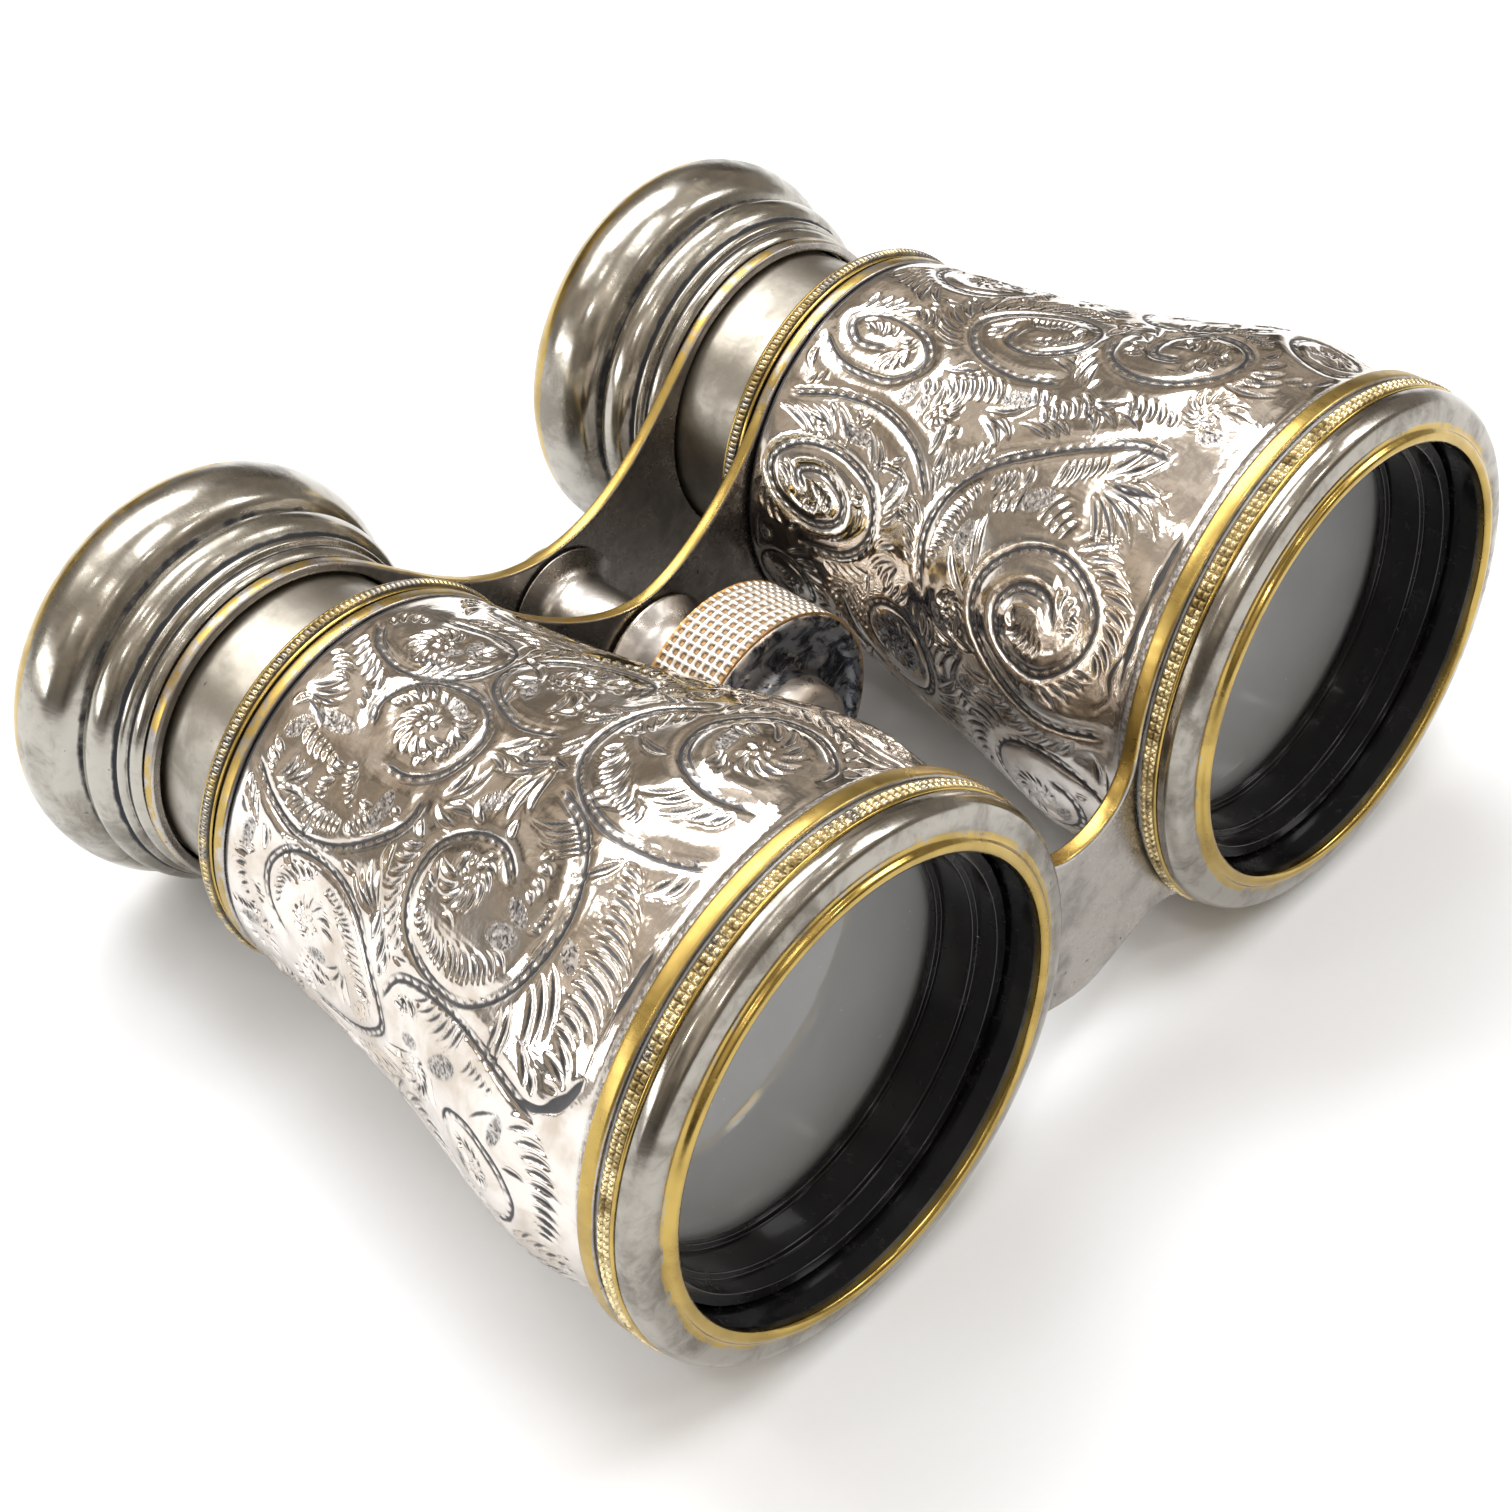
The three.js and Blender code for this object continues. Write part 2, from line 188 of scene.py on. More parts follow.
# ---------- node materials ----------
class Nodes:
    """Small helper that wires a node tree; its patterns are laid out by one texture coordinate."""

    def __init__(self, tree, coordinate):
        self.tree = tree
        self.place = self.new("ShaderNodeTexCoord").outputs[coordinate]

    def new(self, kind, **properties):
        node = self.tree.nodes.new(kind)
        for key, value in properties.items():
            setattr(node, key, value)
        return node

    def put(self, socket, value):
        """Links a socket, or sets a plain value."""
        if isinstance(value, bpy.types.NodeSocket):
            self.tree.links.new(value, socket)
        else:
            socket.default_value = value

    def noise(self, size, detail=4.0, rough=0.55, stretch=None, distortion=0.0):
        """Noise whose features are about size millimetres across."""
        place = self.place
        if stretch:
            scale = self.new("ShaderNodeMapping")
            scale.inputs["Scale"].default_value = stretch
            self.put(scale.inputs["Vector"], place)
            place = scale.outputs["Vector"]
        node = self.new("ShaderNodeTexNoise")
        self.put(node.inputs["Vector"], place)
        node.inputs["Scale"].default_value = 1 / (size * MM)
        node.inputs["Detail"].default_value = detail
        node.inputs["Roughness"].default_value = rough
        node.inputs["Distortion"].default_value = distortion
        return node.outputs["Fac"]

    def math(self, operation, a, b):
        node = self.new("ShaderNodeMath", operation=operation)
        self.put(node.inputs[0], a)
        self.put(node.inputs[1], b)
        return node.outputs[0]

    def band(self, value, low, high, to_low=0.0, to_high=1.0, shape="SMOOTHSTEP"):
        """Maps low..high onto to_low..to_high."""
        node = self.new("ShaderNodeMapRange", interpolation_type=shape)
        self.put(node.inputs["Value"], value)
        limits = {"From Min": low, "From Max": high, "To Min": to_low, "To Max": to_high}
        for key, number in limits.items():
            node.inputs[key].default_value = number
        return node.outputs["Result"]

    def ragged(self, value, size, detail, amount, rough=0.55):
        """The value with an amount of noise laid over it, so that its limits run ragged."""
        uneven = self.math("SUBTRACT", self.noise(size, detail, rough), 0.5)
        return self.math("ADD", value, self.math("MULTIPLY", uneven, amount))

    def mix(self, factor, a, b, method="MIX"):
        node = self.new("ShaderNodeMix", data_type="RGBA", blend_type=method)
        self.put(node.inputs["Factor"], factor)
        self.put(node.inputs["A"], (*a, 1) if isinstance(a, tuple) else a)
        self.put(node.inputs["B"], (*b, 1) if isinstance(b, tuple) else b)
        return node.outputs["Result"]

    def blend(self, factor, a, b):
        node = self.new("ShaderNodeMix", data_type="FLOAT")
        self.put(node.inputs["Factor"], factor)
        self.put(node.inputs["A"], a)
        self.put(node.inputs["B"], b)
        return node.outputs["Result"]

    def bump(self, height, depth, before=None):
        """Bump whose full height range is depth millimetres."""
        node = self.new("ShaderNodeBump")
        node.inputs["Distance"].default_value = depth * MM
        self.put(node.inputs["Height"], height)
        if before is not None:
            self.put(node.inputs["Normal"], before)
        return node.outputs["Normal"]


class Surface(Nodes):
    """The nodes of a new material with a Principled shader."""

    def __init__(self, name, **settings):
        self.material = bpy.data.materials.new(name)
        self.material.use_nodes = True
        super().__init__(self.material.node_tree, "Object")
        self.shader = self.tree.nodes["Principled BSDF"]
        self.set(**settings)

    def attribute(self, name):
        return self.new("ShaderNodeAttribute", attribute_name=name).outputs["Fac"]

    def set(self, **sockets):
        """Sets or links the shader's inputs, and gives the material back."""
        for key, value in sockets.items():
            self.put(self.shader.inputs[key.replace("_", " ")], value)
        return self.material


SILVER = (0.485, 0.453, 0.408)
SILVER_DULL = (0.28, 0.257, 0.22)
BRASS = (0.50, 0.355, 0.105)
BRASS_WORN = (0.36, 0.25, 0.075)
BRASS_DULL = (0.235, 0.17, 0.065)
OXIDE = (0.055, 0.057, 0.066)


def plate_material(name, tint=SILVER, dull=SILVER_DULL, rough=0.17, spots=0.5):
    """Worn silver plate: clouds, specks and hairlines. 'wear' 1 bares the brass, -1 holds grime."""
    n = Surface(name, Metallic=1.0)
    clouds = n.noise(9, 5, 0.6)
    film = n.noise(2.2, 6, 0.65, distortion=0.6)
    tarnish = n.band(n.blend(0.4, clouds, film), 0.42, 0.64)
    color = n.mix(tarnish, tint, dull)
    specks = n.band(n.noise(0.9, 3, 0.5), 0.74 - 0.06 * spots, 0.80)
    color = n.mix(n.math("MULTIPLY", specks, 0.75), color, OXIDE)
    ragged = n.ragged(n.attribute("wear"), 1.6, 5, 0.9, rough=0.6)
    worn = n.band(ragged, 0.42, 0.56)
    brass = n.mix(n.band(n.noise(4.5, 3), 0.35, 0.75), BRASS, BRASS_WORN)
    color = n.mix(worn, color, brass)
    grime = n.band(ragged, -0.25, -0.7)
    color = n.mix(grime, color, OXIDE)
    specks = n.math("MAXIMUM", specks, grime)
    hairs = n.noise(0.35, 2, 0.5, stretch=(1, 0.06, 1))
    roughness = n.math("ADD", n.blend(tarnish, rough, rough + 0.16), n.math("MULTIPLY", hairs, 0.09))
    roughness = n.blend(specks, roughness, 0.6)
    normal = n.bump(hairs, 0.004)
    normal = n.bump(n.noise(3.5, 2, 0.4), 0.05, normal)
    return n.set(Base_Color=color, Roughness=roughness, Normal=normal)


def brass_material(name, tint, silver_from):
    """Bare brass with brown patina clouds and dark grime in what the 'cut' attribute marks."""
    n = Surface(name, Metallic=1.0)
    patina = n.band(n.noise(2.4, 6, 0.6), 0.42, 0.66)
    color = n.mix(patina, tint, BRASS_DULL)
    silver_left = n.band(n.noise(5.5, 5, 0.65), silver_from, silver_from + 0.07)
    color = n.mix(silver_left, color, SILVER_DULL)
    dirt = n.attribute("cut")
    color = n.mix(n.math("MULTIPLY", dirt, 0.85), color, OXIDE)
    roughness = n.blend(patina, 0.2, 0.4)
    roughness = n.blend(dirt, roughness, 0.55)
    return n.set(Base_Color=color, Roughness=roughness, Normal=n.bump(n.noise(0.5, 3), 0.01))


def engraved_material():
    """Chased silver: bright polished fields, black oxide and painted shade in the cuts, matt stippled
    patches.
    """
    n = Surface("engraved_silver", Metallic=1.0)
    bloom = n.band(n.noise(7, 5, 0.6, distortion=0.4), 0.40, 0.66)
    color = n.mix(bloom, (0.79, 0.742, 0.695), (0.56, 0.49, 0.415))
    cut = n.attribute("cut")
    matt = n.attribute("matt")
    punched = n.mix(n.band(n.noise(0.45, 2), 0.42, 0.58), (0.15, 0.145, 0.145), (0.52, 0.49, 0.47))
    color = n.mix(n.math("MULTIPLY", matt, 0.8), color, punched)
    # The cut map's darkening, black oxide with painted shade on the steep sides, turns near-black here.
    dark = n.band(n.ragged(cut, 0.7, 4, 0.35), 0.18, 0.70)
    color = n.mix(dark, color, n.mix(n.noise(3, 3), (0.035, 0.036, 0.042), (0.14, 0.137, 0.138)))
    roughness = n.blend(bloom, 0.075, 0.17)
    roughness = n.blend(matt, roughness, 0.42)
    roughness = n.blend(dark, roughness, 0.5)
    dots = n.math("MULTIPLY", n.noise(0.4, 2), matt)
    normal = n.bump(n.noise(2.6, 3, 0.5), 0.09, n.bump(dots, 0.10))
    return n.set(Base_Color=color, Roughness=roughness, Normal=normal)


def wheel_rim_material():
    """Square-knurled rim: pale silver ridges, brown brass in the pits and along the worn edges."""
    n = Surface("wheel_rim_knurl", Metallic=1.0)
    pit = n.attribute("cut")
    pale = n.mix(n.noise(2, 4), (0.80, 0.785, 0.755), (0.60, 0.57, 0.525))
    brown = n.mix(n.noise(1.2, 4), (0.47, 0.31, 0.16), (0.22, 0.155, 0.105))
    color = n.mix(n.band(pit, 0.30, 0.75), pale, brown)
    edge = n.ragged(n.attribute("wear"), 1.5, 4, 0.8)
    color = n.mix(n.band(edge, 0.5, 0.7), color, (0.62, 0.38, 0.16))
    roughness = n.blend(pit, 0.34, 0.55)
    return n.set(Base_Color=color, Roughness=roughness, Normal=n.bump(n.noise(0.3, 3), 0.015))


def mottled_material():
    """Blotched black and blue-grey tarnish on the wheel's face, made light where 'wear' is high: a painted
    highlight on the hub boss and the screw head, and rubbed wear on the rim's edges.
    """
    n = Surface("wheel_face_tarnish", Metallic=1.0)
    blotch = n.noise(3.2, 7, 0.7, distortion=1.2)
    color = n.mix(n.band(blotch, 0.44, 0.56), (0.035, 0.038, 0.05), (0.27, 0.28, 0.30))
    color = n.mix(n.band(n.noise(1.4, 5, 0.6), 0.60, 0.70), color, (0.50, 0.45, 0.40))
    # Painted highlight on the hub boss and screw head, rubbed wear on the rim's edges.
    rubbed_and_highlight = n.ragged(n.attribute("wear"), 1.5, 4, 0.7)
    color = n.mix(n.band(rubbed_and_highlight, 0.45, 0.6), color, (0.62, 0.57, 0.52))
    roughness = n.band(blotch, 0.35, 0.65, 0.22, 0.5)
    return n.set(Base_Color=color, Roughness=roughness, Normal=n.bump(blotch, 0.06))


def lacquer_material():
    """Old black lacquer: glossy, dusty, with pin scratches down to bare metal."""
    n = Surface("black_lacquer", Specular_IOR_Level=0.3, Coat_Weight=0.3, Coat_Roughness=0.07)
    dust = n.band(n.noise(1.6, 6, 0.7), 0.52, 0.75)
    color = n.mix(n.math("MULTIPLY", dust, 0.25), (0.004, 0.004, 0.005), (0.045, 0.042, 0.038))
    chips = n.band(n.noise(0.55, 2, 0.4, stretch=(1, 0.25, 1)), 0.79, 0.82)
    color = n.mix(chips, color, (0.42, 0.39, 0.35))
    lathe_marks = n.noise(0.22, 1, 0.4, stretch=(0.03, 1, 0.03))
    roughness = n.blend(dust, 0.20, 0.42)
    return n.set(Base_Color=color, Roughness=roughness, Normal=n.bump(lathe_marks, 0.006))


def glass_material(name, clear, ior):
    """Optical glass painted a flat pale grey, a painted reflection that also lifts the lens out of the
    bore's shade, with dust specks; clear is the share that is transparent.
    """
    n = Surface(name, IOR=ior, Transmission_Weight=clear)
    specks = n.band(n.noise(0.35, 2, 0.5), 0.72, 0.80)
    lens_grey_noise = n.noise(9, 3, 0.5)
    # Painted reflection: two pale greys stand in for what the lens reflects.
    color = n.mix(lens_grey_noise, (0.34, 0.352, 0.36), (0.42, 0.432, 0.44))
    color = n.mix(n.math("MULTIPLY", specks, 0.4), color, (0.5, 0.5, 0.48))
    return n.set(Base_Color=color, Roughness=n.blend(specks, 0.04, 0.5))


def felt_material():
    """Dark brown felt that guides the draw tubes."""
    n = Surface("felt", Roughness=0.95)
    fibres = n.noise(0.3, 5, 0.7)
    color = n.mix(fibres, (0.05, 0.035, 0.03), (0.12, 0.09, 0.075))
    return n.set(Base_Color=color, Normal=n.bump(fibres, 0.08))


def steel_material():
    """Turned steel with rings left by the lathe."""
    n = Surface("turned_steel", Metallic=1.0)
    rings = n.noise(0.3, 2, 0.5, stretch=(0.05, 1, 0.05))
    color = n.mix(n.noise(1.5, 4), (0.50, 0.50, 0.52), (0.30, 0.28, 0.26))
    return n.set(Base_Color=color, Roughness=n.blend(rings, 0.28, 0.45), Normal=n.bump(rings, 0.008))


silver = plate_material("silver_plate")
silver_tube = plate_material("silver_draw_tube", (0.39, 0.365, 0.32), (0.27, 0.25, 0.215), 0.27)
silver_aged = plate_material("silver_eyecup", (0.44, 0.418, 0.372), (0.23, 0.212, 0.18), 0.12)
silver_bridge = plate_material("silver_bridge", (0.47, 0.44, 0.41), (0.27, 0.255, 0.24), 0.22, 0.8)
silver_ring = plate_material("silver_ring", (0.38, 0.357, 0.318), (0.18, 0.164, 0.14), 0.10, 0.7)
lead = plate_material("solder_lead", (0.36, 0.37, 0.39), (0.22, 0.225, 0.24), 0.36)
silvered_brass = brass_material("silvered_brass", (0.62, 0.50, 0.27), silver_from=0.46)
knurl_brass = brass_material("knurl_brass", (0.84, 0.70, 0.40), silver_from=0.58)
engraved = engraved_material()
rim_knurl = wheel_rim_material()
mottled = mottled_material()
lacquer = lacquer_material()
crown_glass = glass_material("crown_glass", 0.15, 1.52)
flint_glass = glass_material("flint_glass", 0.85, 1.62)
felt = felt_material()
steel = steel_material()

# ---------- engraving, drawn on the unrolled barrel ----------
BARREL = [(6.7, 23.4), (9, 23.2), (14.5, 24.05), (19, 23.6), (30, 21), (42, 18.85), (54.8, 17.55)]
ROUND = 132.0  # the unrolled width, at the barrel's mean radius of 21 mm
PER_DEGREE = ROUND / 360
COLUMNS = 840
ROWS = 280
FIRST_ROW, LAST_ROW = BARREL[0][0], BARREL[-1][0]
LEAD_BAND = 0.9  # plain grey border behind the objective ring
SHEATH = 0.7  # the sheath's thickness under its engraving
FILL_TRIES = 1500


def line_through(points, count=56):
    """A smooth line through (angle, station) points, in unrolled millimetres."""
    return smooth_curve([(a * PER_DEGREE, y) for a, y in points], count)


def heading_of(vector):
    return math.atan2(vector[1], vector[0])


def unit(angle):
    return np.array([math.cos(angle), math.sin(angle)])


class Relief:
    """Height, matt and darkening maps over the unrolled sheath; the darkening is black oxide in the cuts
    and painted shade on their steep sides.

    Lines run through (across, station) points in millimetres; single places are (angle, station).
    """

    def __init__(self, seed):
        self.across = np.arange(COLUMNS) * ROUND / COLUMNS
        self.station = np.linspace(FIRST_ROW, LAST_ROW, ROWS)
        self.height, self.cut, self.matt = np.zeros((3, ROWS, COLUMNS))
        self.taken = np.zeros((ROWS, COLUMNS), bool)
        self.random = np.random.default_rng(seed)

    def window(self, low, high):
        """Rows and (wrapped) columns that cover a box, with their coordinates."""
        step = ROUND / COLUMNS
        columns = np.arange(math.floor(low[0] / step), math.ceil(high[0] / step) + 1)
        rows = np.nonzero((self.station >= low[1]) & (self.station <= high[1]))[0]
        y, x = np.meshgrid(self.station[rows], columns * step, indexing="ij")
        return np.ix_(rows, columns % COLUMNS), x, y

    def near(self, points, reach):
        """Signed distance from a line, and the length along it, for the points within reach of its box."""
        points = np.asarray(points, float)
        index, x, y = self.window(points.min(0) - reach, points.max(0) + reach)
        distance = np.full(x.shape, 99.0)
        walked = np.zeros(x.shape)
        done = 0.0
        for start, end in zip(points[:-1], points[1:], strict=True):
            dx, dy = end - start
            length = math.hypot(dx, dy)
            t = np.clip(((x - start[0]) * dx + (y - start[1]) * dy) / max(length**2, 1e-9), 0, 1)
            ox, oy = x - start[0] - t * dx, y - start[1] - t * dy
            d = np.hypot(ox, oy)
            nearer = d < np.abs(distance)
            distance[nearer] = (d * np.where(dx * oy - dy * ox < 0, -1, 1))[nearer]
            walked[nearer] = (done + t * length)[nearer]
            done += length
        return index, distance, walked, done

    def darken(self, index, amount):
        self.cut[index] = np.maximum(self.cut[index], amount)

    def is_taken(self, point):
        row = round((point[1] - FIRST_ROW) / (LAST_ROW - FIRST_ROW) * (ROWS - 1))
        column = round(point[0] / ROUND * COLUMNS) % COLUMNS
        return self.taken[min(max(row, 0), ROWS - 1), column]

    def ribbon(self, line):
        """A firm cut and a fainter one, a broken thread between them, and metal swelling up beside."""
        index, distance, walked, total = self.near(line, 3.0)
        d = np.abs(distance)
        fade = np.clip(np.minimum(walked, total - walked) / 1.2, 0, 1)
        ticks = 0.93 + 0.07 * np.sin(walked * 2 * math.pi / 1.3)
        faint = 0.62 + 0.3 * np.sin(walked * 0.55 + line[0, 1])
        thread = 0.38 + 0.38 * np.sin(walked * 2 * math.pi / 1.2)
        grooves = bell(distance, -0.25, 0.2)
        grooves = np.maximum(grooves, faint * bell(distance, 0.33, 0.17))
        grooves = np.maximum(grooves, thread * bell(distance, 0, 0.2))
        self.height[index] += fade * (0.10 * bell(d, 1.25, 0.7) - 0.16 * ticks * grooves)
        self.darken(index, fade * ticks * grooves)
        self.taken[index] |= d < 0.95

    def blade(self, start, heading, length, bend, width=0.35, depth=0.15, over=False):
        """One curved, tapering tool cut with a raised burr on its outer side."""
        turns = heading + bend * np.linspace(-0.5, 0.5, 6)
        steps = np.stack([np.cos(turns), np.sin(turns)], 1) * length / 6
        line = np.vstack([[0, 0], np.cumsum(steps, 0)]) + start
        if line[:, 1].min() < FIRST_ROW + LEAD_BAND or line[:, 1].max() > LAST_ROW - 0.4:
            return
        if not over and (self.is_taken(line[3]) or self.is_taken(line[6])):
            return
        index, distance, walked, total = self.near(line, width * 2.4)
        share = np.clip(walked / total, 0.02, 0.98)
        taper = np.sin(math.pi * share**0.8) ** 0.7
        d = distance * math.copysign(1, bend) / (width * np.maximum(taper, 0.05))
        hollow = np.clip(1 - d**2, 0, 1)
        self.height[index] += taper * depth * (0.6 * bell(d, -1.4, 0.45) - hollow)
        # Oxide and painted shade: the cut map is darkened on the cut's steep side, where shade falls.
        shade = np.clip(1 - (d - 0.4) ** 2 / 0.3, 0, 1)
        self.darken(index, 0.82 * taper * shade)
        self.taken[index] |= np.abs(d) < 1.2

    def comb(self, line, length, lean=1.1, pitch=0.85, bend=0.9, offset=0.95, **tool):
        """A row of cuts leaning off one side of a line, the left for a positive length; longest mid-way."""
        side = math.copysign(1, length)
        walked = np.r_[0, np.cumsum(np.linalg.norm(np.diff(line, axis=0), axis=1))]
        for s in np.arange(pitch / 2, walked[-1], pitch):
            here, ahead = (
                np.array([np.interp(v, walked, line[:, k]) for k in (0, 1)]) for v in (s, s + 0.2)
            )
            heading = heading_of(ahead - here)
            size = abs(length) * (0.45 + 0.55 * math.sin(math.pi * s / walked[-1]))
            size *= self.random.uniform(0.86, 1.08)
            root = here + side * offset * unit(heading + math.pi / 2)
            self.blade(root, heading + side * lean, size, -side * bend, **tool)

    def palm(self, angle, station, heading, spread, count, length):
        """Long blades fanned out of one point; heading and spread in degrees, 90 towards the eye end."""
        root = np.array([angle * PER_DEGREE, station])
        for k in range(count):
            share = k / (count - 1) - 0.5
            turn = math.radians(heading + spread * share)
            size = length * (1 - 0.9 * share**2) * self.random.uniform(0.9, 1.05)
            bend = math.copysign(0.9, share)
            self.blade(root + 0.9 * unit(turn), turn, size, bend, width=0.46, depth=0.16)

    def stipple(self, angle, station, long, short, turn):
        """A matt oval of punch dots."""
        centre = np.array([angle * PER_DEGREE, station])
        index, x, y = self.window(centre - long, centre + long)
        x, y = x - centre[0], y - centre[1]
        ux, uy = unit(math.radians(turn))
        outwards = np.hypot((x * ux + y * uy) / long, (y * ux - x * uy) / short)
        inside = np.clip((1 - outwards) * 5, 0, 1) * ~self.taken[index]
        dots = self.random.random(x.shape)
        self.height[index] -= inside * (0.03 + 0.05 * dots)
        self.darken(index, inside * (dots > 0.75) * 0.7)
        self.matt[index] = np.maximum(self.matt[index], inside)
        self.taken[index] |= inside > 0.4

    def curl(self, angle, station, radius, start, hand):
        """The heart of a scroll: crescents fanned round a small eye, and a stippled lobe beside them."""
        centre = np.array([angle * PER_DEGREE, station])
        first = math.radians(start)
        for k in range(9):
            turn = first + hand * k * 0.47
            reach = radius * (0.66 + 0.05 * k)
            root = centre + 0.40 * reach * unit(turn)
            self.blade(root, turn + 0.85 * hand, 0.72 * reach, hand, over=True)
        for k in range(5):
            turn = first + hand * k * 1.25
            root = centre + 0.12 * radius * unit(turn)
            self.blade(root, turn + 1.0, 0.26 * radius, hand, width=0.24, over=True)
        lobe = centre + 0.72 * radius * unit(first - 0.75 * hand)
        self.stipple(lobe[0] / PER_DEGREE, lobe[1], 0.42 * radius, 0.2 * radius, start + 50 * hand)

    def trim(self, line):
        """Crescents along the hollow side of an outline, and feathers off its outer side."""
        steps = np.diff(line, axis=0)
        turning = (steps[:-1, 0] * steps[1:, 1] - steps[:-1, 1] * steps[1:, 0]).sum()
        inner = math.copysign(1, turning)
        low = self.random.integers(4, 14)
        self.comb(line[low : low + 24], 2.9 * inner, pitch=0.74, offset=1.2)
        self.comb(line[low + 26 : low + 42], 2.3 * inner, lean=1.9, pitch=0.74, offset=1.25)
        self.comb(line[2:32], -5.2 * inner, lean=0.6, pitch=0.9, bend=0.7, offset=1.0, width=0.4)
        self.comb(line[32:52], -3.2 * inner, lean=2.3, pitch=0.8, bend=0.8, offset=1.0)

    def motif(self, angle, station, radius, start, hand):
        """A whole scroll for the sides that carry the pattern on: a tail, one turn, and its curl."""
        t = np.linspace(-0.22, 1.0, 13)
        turn = math.radians(start) + hand * 2 * math.pi * t
        reach = radius * (1 - 0.42 * np.maximum(t, 0) + 1.5 * np.maximum(-t, 0))
        across = angle + reach * np.cos(turn) / PER_DEGREE
        station_at = np.clip(station + reach * np.sin(turn), FIRST_ROW + LEAD_BAND, LAST_ROW - 1)
        line = line_through(zip(across, station_at, strict=True))
        self.ribbon(line)
        self.curl(angle, station, radius * 0.60, start + 60, hand)
        self.trim(line)

    def fill(self, tries):
        """Short combs and stippled ovals where a field has stayed wide and plain."""
        for _ in range(tries):
            angle = self.random.uniform(0, 360)
            station = self.random.uniform(FIRST_ROW + 3, LAST_ROW - 2)
            centre = np.array([angle * PER_DEGREE, station])
            if any(self.is_taken(centre + 0.8 * unit(k * math.pi / 3)) for k in range(6)):
                continue
            heading = self.random.uniform(0, 2 * math.pi)
            if self.random.random() < 0.2:
                self.stipple(angle, station, self.random.uniform(1.0, 1.7), 0.7, math.degrees(heading))
                continue
            reach = self.random.uniform(1.4, 2.6)
            ends = [centre - reach * unit(heading), centre, centre + reach * unit(heading + 0.5)]
            length = self.random.choice([-1, 1]) * self.random.uniform(1.5, 2.5)
            self.comb(smooth_curve(ends, 12), length, offset=0)

    def stain(self, points, thickness):
        """Black dirt and torn plate along a line, thickest in its middle."""
        index, distance, walked, total = self.near(line_through(points), 2.4)
        ragged = 0.72 + 0.18 * np.sin(walked * 0.9 + 1) + 0.10 * np.sin(walked * 2.3)
        width = thickness * np.sin(math.pi * np.clip(walked / total, 0, 1)) * ragged
        dirt = np.clip((width - np.abs(distance)) / 0.25, 0, 1)
        self.darken(index, dirt)
        self.height[index] -= 0.10 * dirt

    def finish(self):
        """Swells the plain fields a little, and leaves plain borders at both ends."""
        field = self.taken.astype(float)
        for _ in range(6):
            rows = np.vstack([field[2:], field[-2:]]) + np.vstack([field[:2], field[:-2]])
            field = (field + np.roll(field, 3, 1) + np.roll(field, -3, 1) + rows) / 5
        self.height += 0.10 * (1 - field)
        edge = np.minimum(self.station - FIRST_ROW - 1, LAST_ROW - self.station)
        self.height *= np.clip(edge / 1.2, 0, 1)[:, None]
        lead = np.clip((FIRST_ROW + LEAD_BAND - self.station) / 0.4, 0, 1)[:, None]
        self.matt = np.maximum(self.matt, lead)
        rim = np.clip(1 - (LAST_ROW - self.station) / 0.6, 0, 1)[:, None]
        self.darken(slice(None), rim)


# Places are given by the angle round the barrel (90 is on top, 180 faces -X) and the station.
# outlines: (angle, station) points of a ribbon. rows and stains: such points, then a length or thickness.
# curls and motifs: angle, station, radius, start and hand. stipples: angle, station, long, short and turn.
# palms: angle, station, heading, spread, count and length.
LEFT_OUTLINES = [
    [(104, 24), (109, 19), (118, 16), (128, 15.3), (139, 17), (147, 21), (149, 25.5), (145, 30),
     (136, 31.6), (126, 31), (120, 28), (119.5, 24.5), (124, 21.5)],
    [(158, 11.5), (153, 16), (150.5, 21), (151.5, 26), (155, 30), (163, 32)],
    [(188, 44), (183, 37.5), (176, 33.5), (169, 31.7), (158, 34), (149, 37), (145, 41.5), (147, 46),
     (155, 48.7), (165, 48.5), (173, 46)],
    [(133, 54), (140, 50.5), (143.5, 46.5), (141, 42), (134, 38), (126, 35.3), (118, 35)],
    [(118, 41.5), (117.5, 38), (112, 35), (102, 34.2), (94, 36.5), (91.5, 40.5), (95, 44.5), (104, 46.2),
     (112, 45)],
    [(178, 22.5), (172, 21.5), (170, 18.5), (173, 15.5), (180, 14.2), (187, 15.2), (191, 17.5)],
    [(102, 8.5), (106, 12), (107, 17), (103, 21.5), (96, 24.5), (86, 25.3), (76, 24), (70, 20.5)],
    [(88, 9.5), (91, 13.5), (87, 17.5), (77, 19), (68, 17), (64, 13), (68, 9.8), (75, 9.2)],
    [(92, 28), (94, 33), (88, 38), (78, 39.3), (68, 37), (64, 33), (67, 28.5), (76, 27.5)],
    [(72, 50), (69, 45), (73, 41.5), (81, 40.5), (89, 42), (94, 46.5), (91, 51), (83, 53.8)],
]
LEFT_CURLS = [
    (126, 26.2, 3.7, 200, 1), (104, 40.2, 3.8, 160, -1), (77, 13.8, 3.7, 30, -1), (79, 33.6, 3.9, 90, 1),
    (81, 46.8, 3.8, 200, -1), (163, 42.5, 3.6, 20, 1), (179, 18.4, 2.5, 20, -1), (171, 26.5, 3.0, 200, 1),
]
LEFT_PALMS = [
    (98, 25.8, 30, 90, 7, 6.0), (119, 33.6, 225, 75, 5, 5.0), (148, 34, 120, 80, 7, 4.6),
    (137, 51, 230, 70, 6, 4.6), (112, 54, 270, 90, 6, 5.0), (165, 37.5, 20, 70, 5, 4.2),
    (151, 9.5, 150, 50, 4, 4.0),
]
